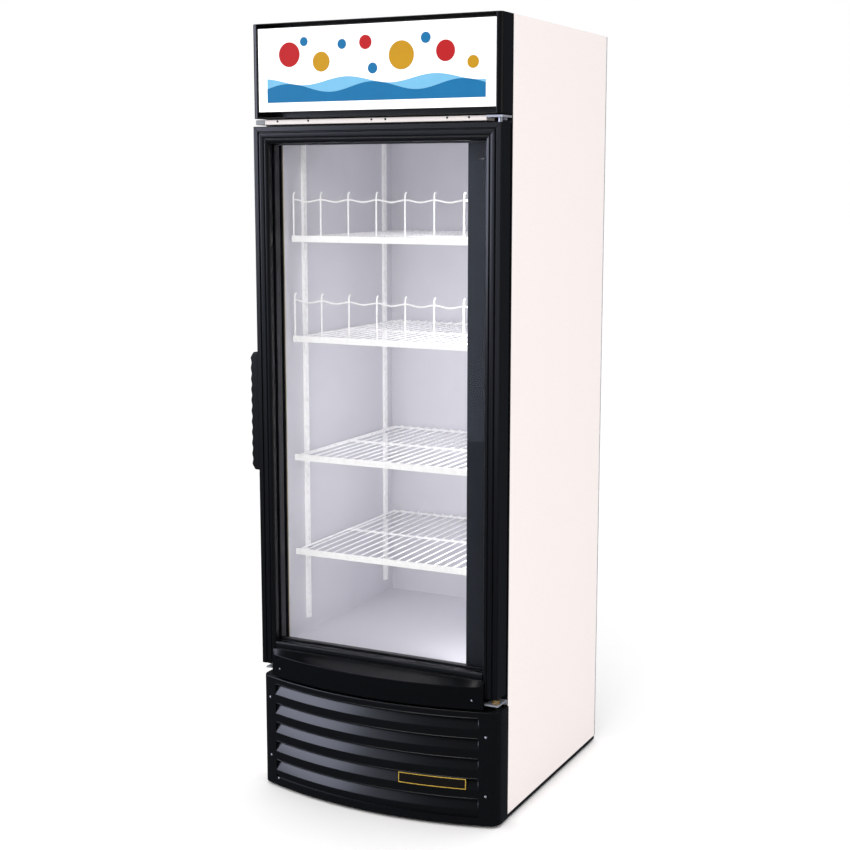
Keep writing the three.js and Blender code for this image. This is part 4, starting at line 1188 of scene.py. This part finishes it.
def compressor_tubes():
    """Three stubs that leave the shell's rear and turn up."""
    bm = bmesh.new()
    low, high = box_mm("compressor")
    x, y, z = (low + high) / 2
    rear = y + (high.y - low.y) / 2
    for across, up, radius in TUBES:
        wires(bm, [[(x + across, rear + out, z + up + rise) for out, rise in TUBE_PATH]], radius, roundness=4)
    return bm


finished(compressor_tubes(), "compressor_tubes", "cabinet", drawn_copper)

# %% [markdown]
# ## The stage
# A pale floor runs under the fridge, and the world is white to the camera, like the paper sweep of a
# product studio. It lights the scene as a bright room would, but it is dim in mirrors, so that the black
# front has something dark to mirror. The light is a studio's: one large softbox on the left that the
# louvres mirror, a narrow one beside it that draws the frame's ridges, a strip overhead that draws the lips
# and top edges, one on the right for the white side, a broad one in front, and a strip inside the cabinet
# where its own tube is. The first three are left out of the diffuse light, or they would bleach the left
# side. The broad one is left out of the reflections.

# %% Floor
FLOOR_REACH = 60  # metres from the middle to each edge, so that no horizon shows
floor_mesh = bmesh.new()
bmesh.ops.create_grid(floor_mesh, x_segments=1, y_segments=1, size=FLOOR_REACH)
floor_data = bpy.data.meshes.new("floor")
floor_mesh.to_mesh(floor_data)
floor_mesh.free()
floor = new_object("floor", floor_data)
floor.visible_glossy = False  # a black product is shot with its floor flagged off, so that it stays black
floor_paper = coated("matt_paper_white", ("#fdfdfd", "#ffffff"), 200.0, (0.9, 0.95), specular=0.0)
floor_data.materials.append(floor_paper)
print("floor of", floor_paper.name)

# %% World
SKIES = [("#ffffff", 1.0), ("#fffefe", 1.05), ("#c8cede", 0.12)]  # to the camera, to matt faces, to mirrors
world = bpy.data.worlds.new("studio")
bpy.context.scene.world = world
world.use_nodes = True
sky = world.node_tree
sky.nodes.clear()
paper, room, dusk = [
    add_node(sky, "ShaderNodeBackground", {"Color": linear(colour), "Strength": power}).outputs["Background"]
    for colour, power in SKIES]
paths = add_node(sky, "ShaderNodeLightPath").outputs
lit = add_node(sky, "ShaderNodeMixShader", {0: paths["Is Glossy Ray"], 1: room, 2: dusk}).outputs["Shader"]
both = add_node(sky, "ShaderNodeMixShader", {0: paths["Is Camera Ray"], 1: lit, 2: paper}).outputs["Shader"]
add_node(sky, "ShaderNodeOutputWorld", {"Surface": both})
print("world:", SKIES)


# %% Lights
def softbox(name, place, target, size, power, colour="#ffffff", diffuse=True, glossy=True):
    """An area light that faces a target, in metres and watts. It lights matt shading, reflections or both."""
    data = bpy.data.lights.new(name, "AREA")
    data.shape = "RECTANGLE"
    data.size, data.size_y = size
    data.energy = power
    data.color = linear(colour)[:3]
    light = new_object(name, data)
    light.visible_diffuse = diffuse
    light.visible_glossy = glossy
    light.location = place
    light.rotation_euler = (Vector(target) - Vector(place)).to_track_quat("-Z", "Y").to_euler()
    print(name, power, "W")


softbox("left_softbox", (-3.9, -3.0, 2.2), (0, -0.3, 0.7), (3.6, 2.2), 175, "#dce1f8", diffuse=False)
softbox("narrow_softbox", (-1.5, -4.4, 1.4), (0.3, 0, 1.0), (1.0, 2.4), 8, "#dce1f8", diffuse=False)
softbox("overhead_strip", (-0.8, -2.6, 4.2), (0, -0.3, 0.3), (3.0, 0.6), 45, diffuse=False)
softbox("right_softbox", (3.6, -0.3, 1.3), (0.3, 0, 1.1), (2.2, 2.2), 10, "#fff4ee")
softbox("front_softbox", (0.4, -4.2, 3.4), (0, 0, 1.1), (3.0, 1.6), 80, glossy=False)
lamp_low, lamp_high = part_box("lamp_tube")
lamp_x, lamp_y, lamp_z = (lamp_low.x + lamp_high.x) / 2, lamp_high.y + 0.004, 1.05  # just behind the tube
softbox("cabinet_strip", (lamp_x, lamp_y, lamp_z), (lamp_x - 0.4, lamp_y + 0.496, lamp_z), (0.03, 1.2), 3.0,
        "#fdfdff")

# %% [markdown]
# ## Colour
# The Standard view transform shows the colours as they are, so a white enamel stays white.

# %% View transform
view = bpy.context.scene.view_settings
view.view_transform = "Standard"
print("view transform:", view.view_transform)
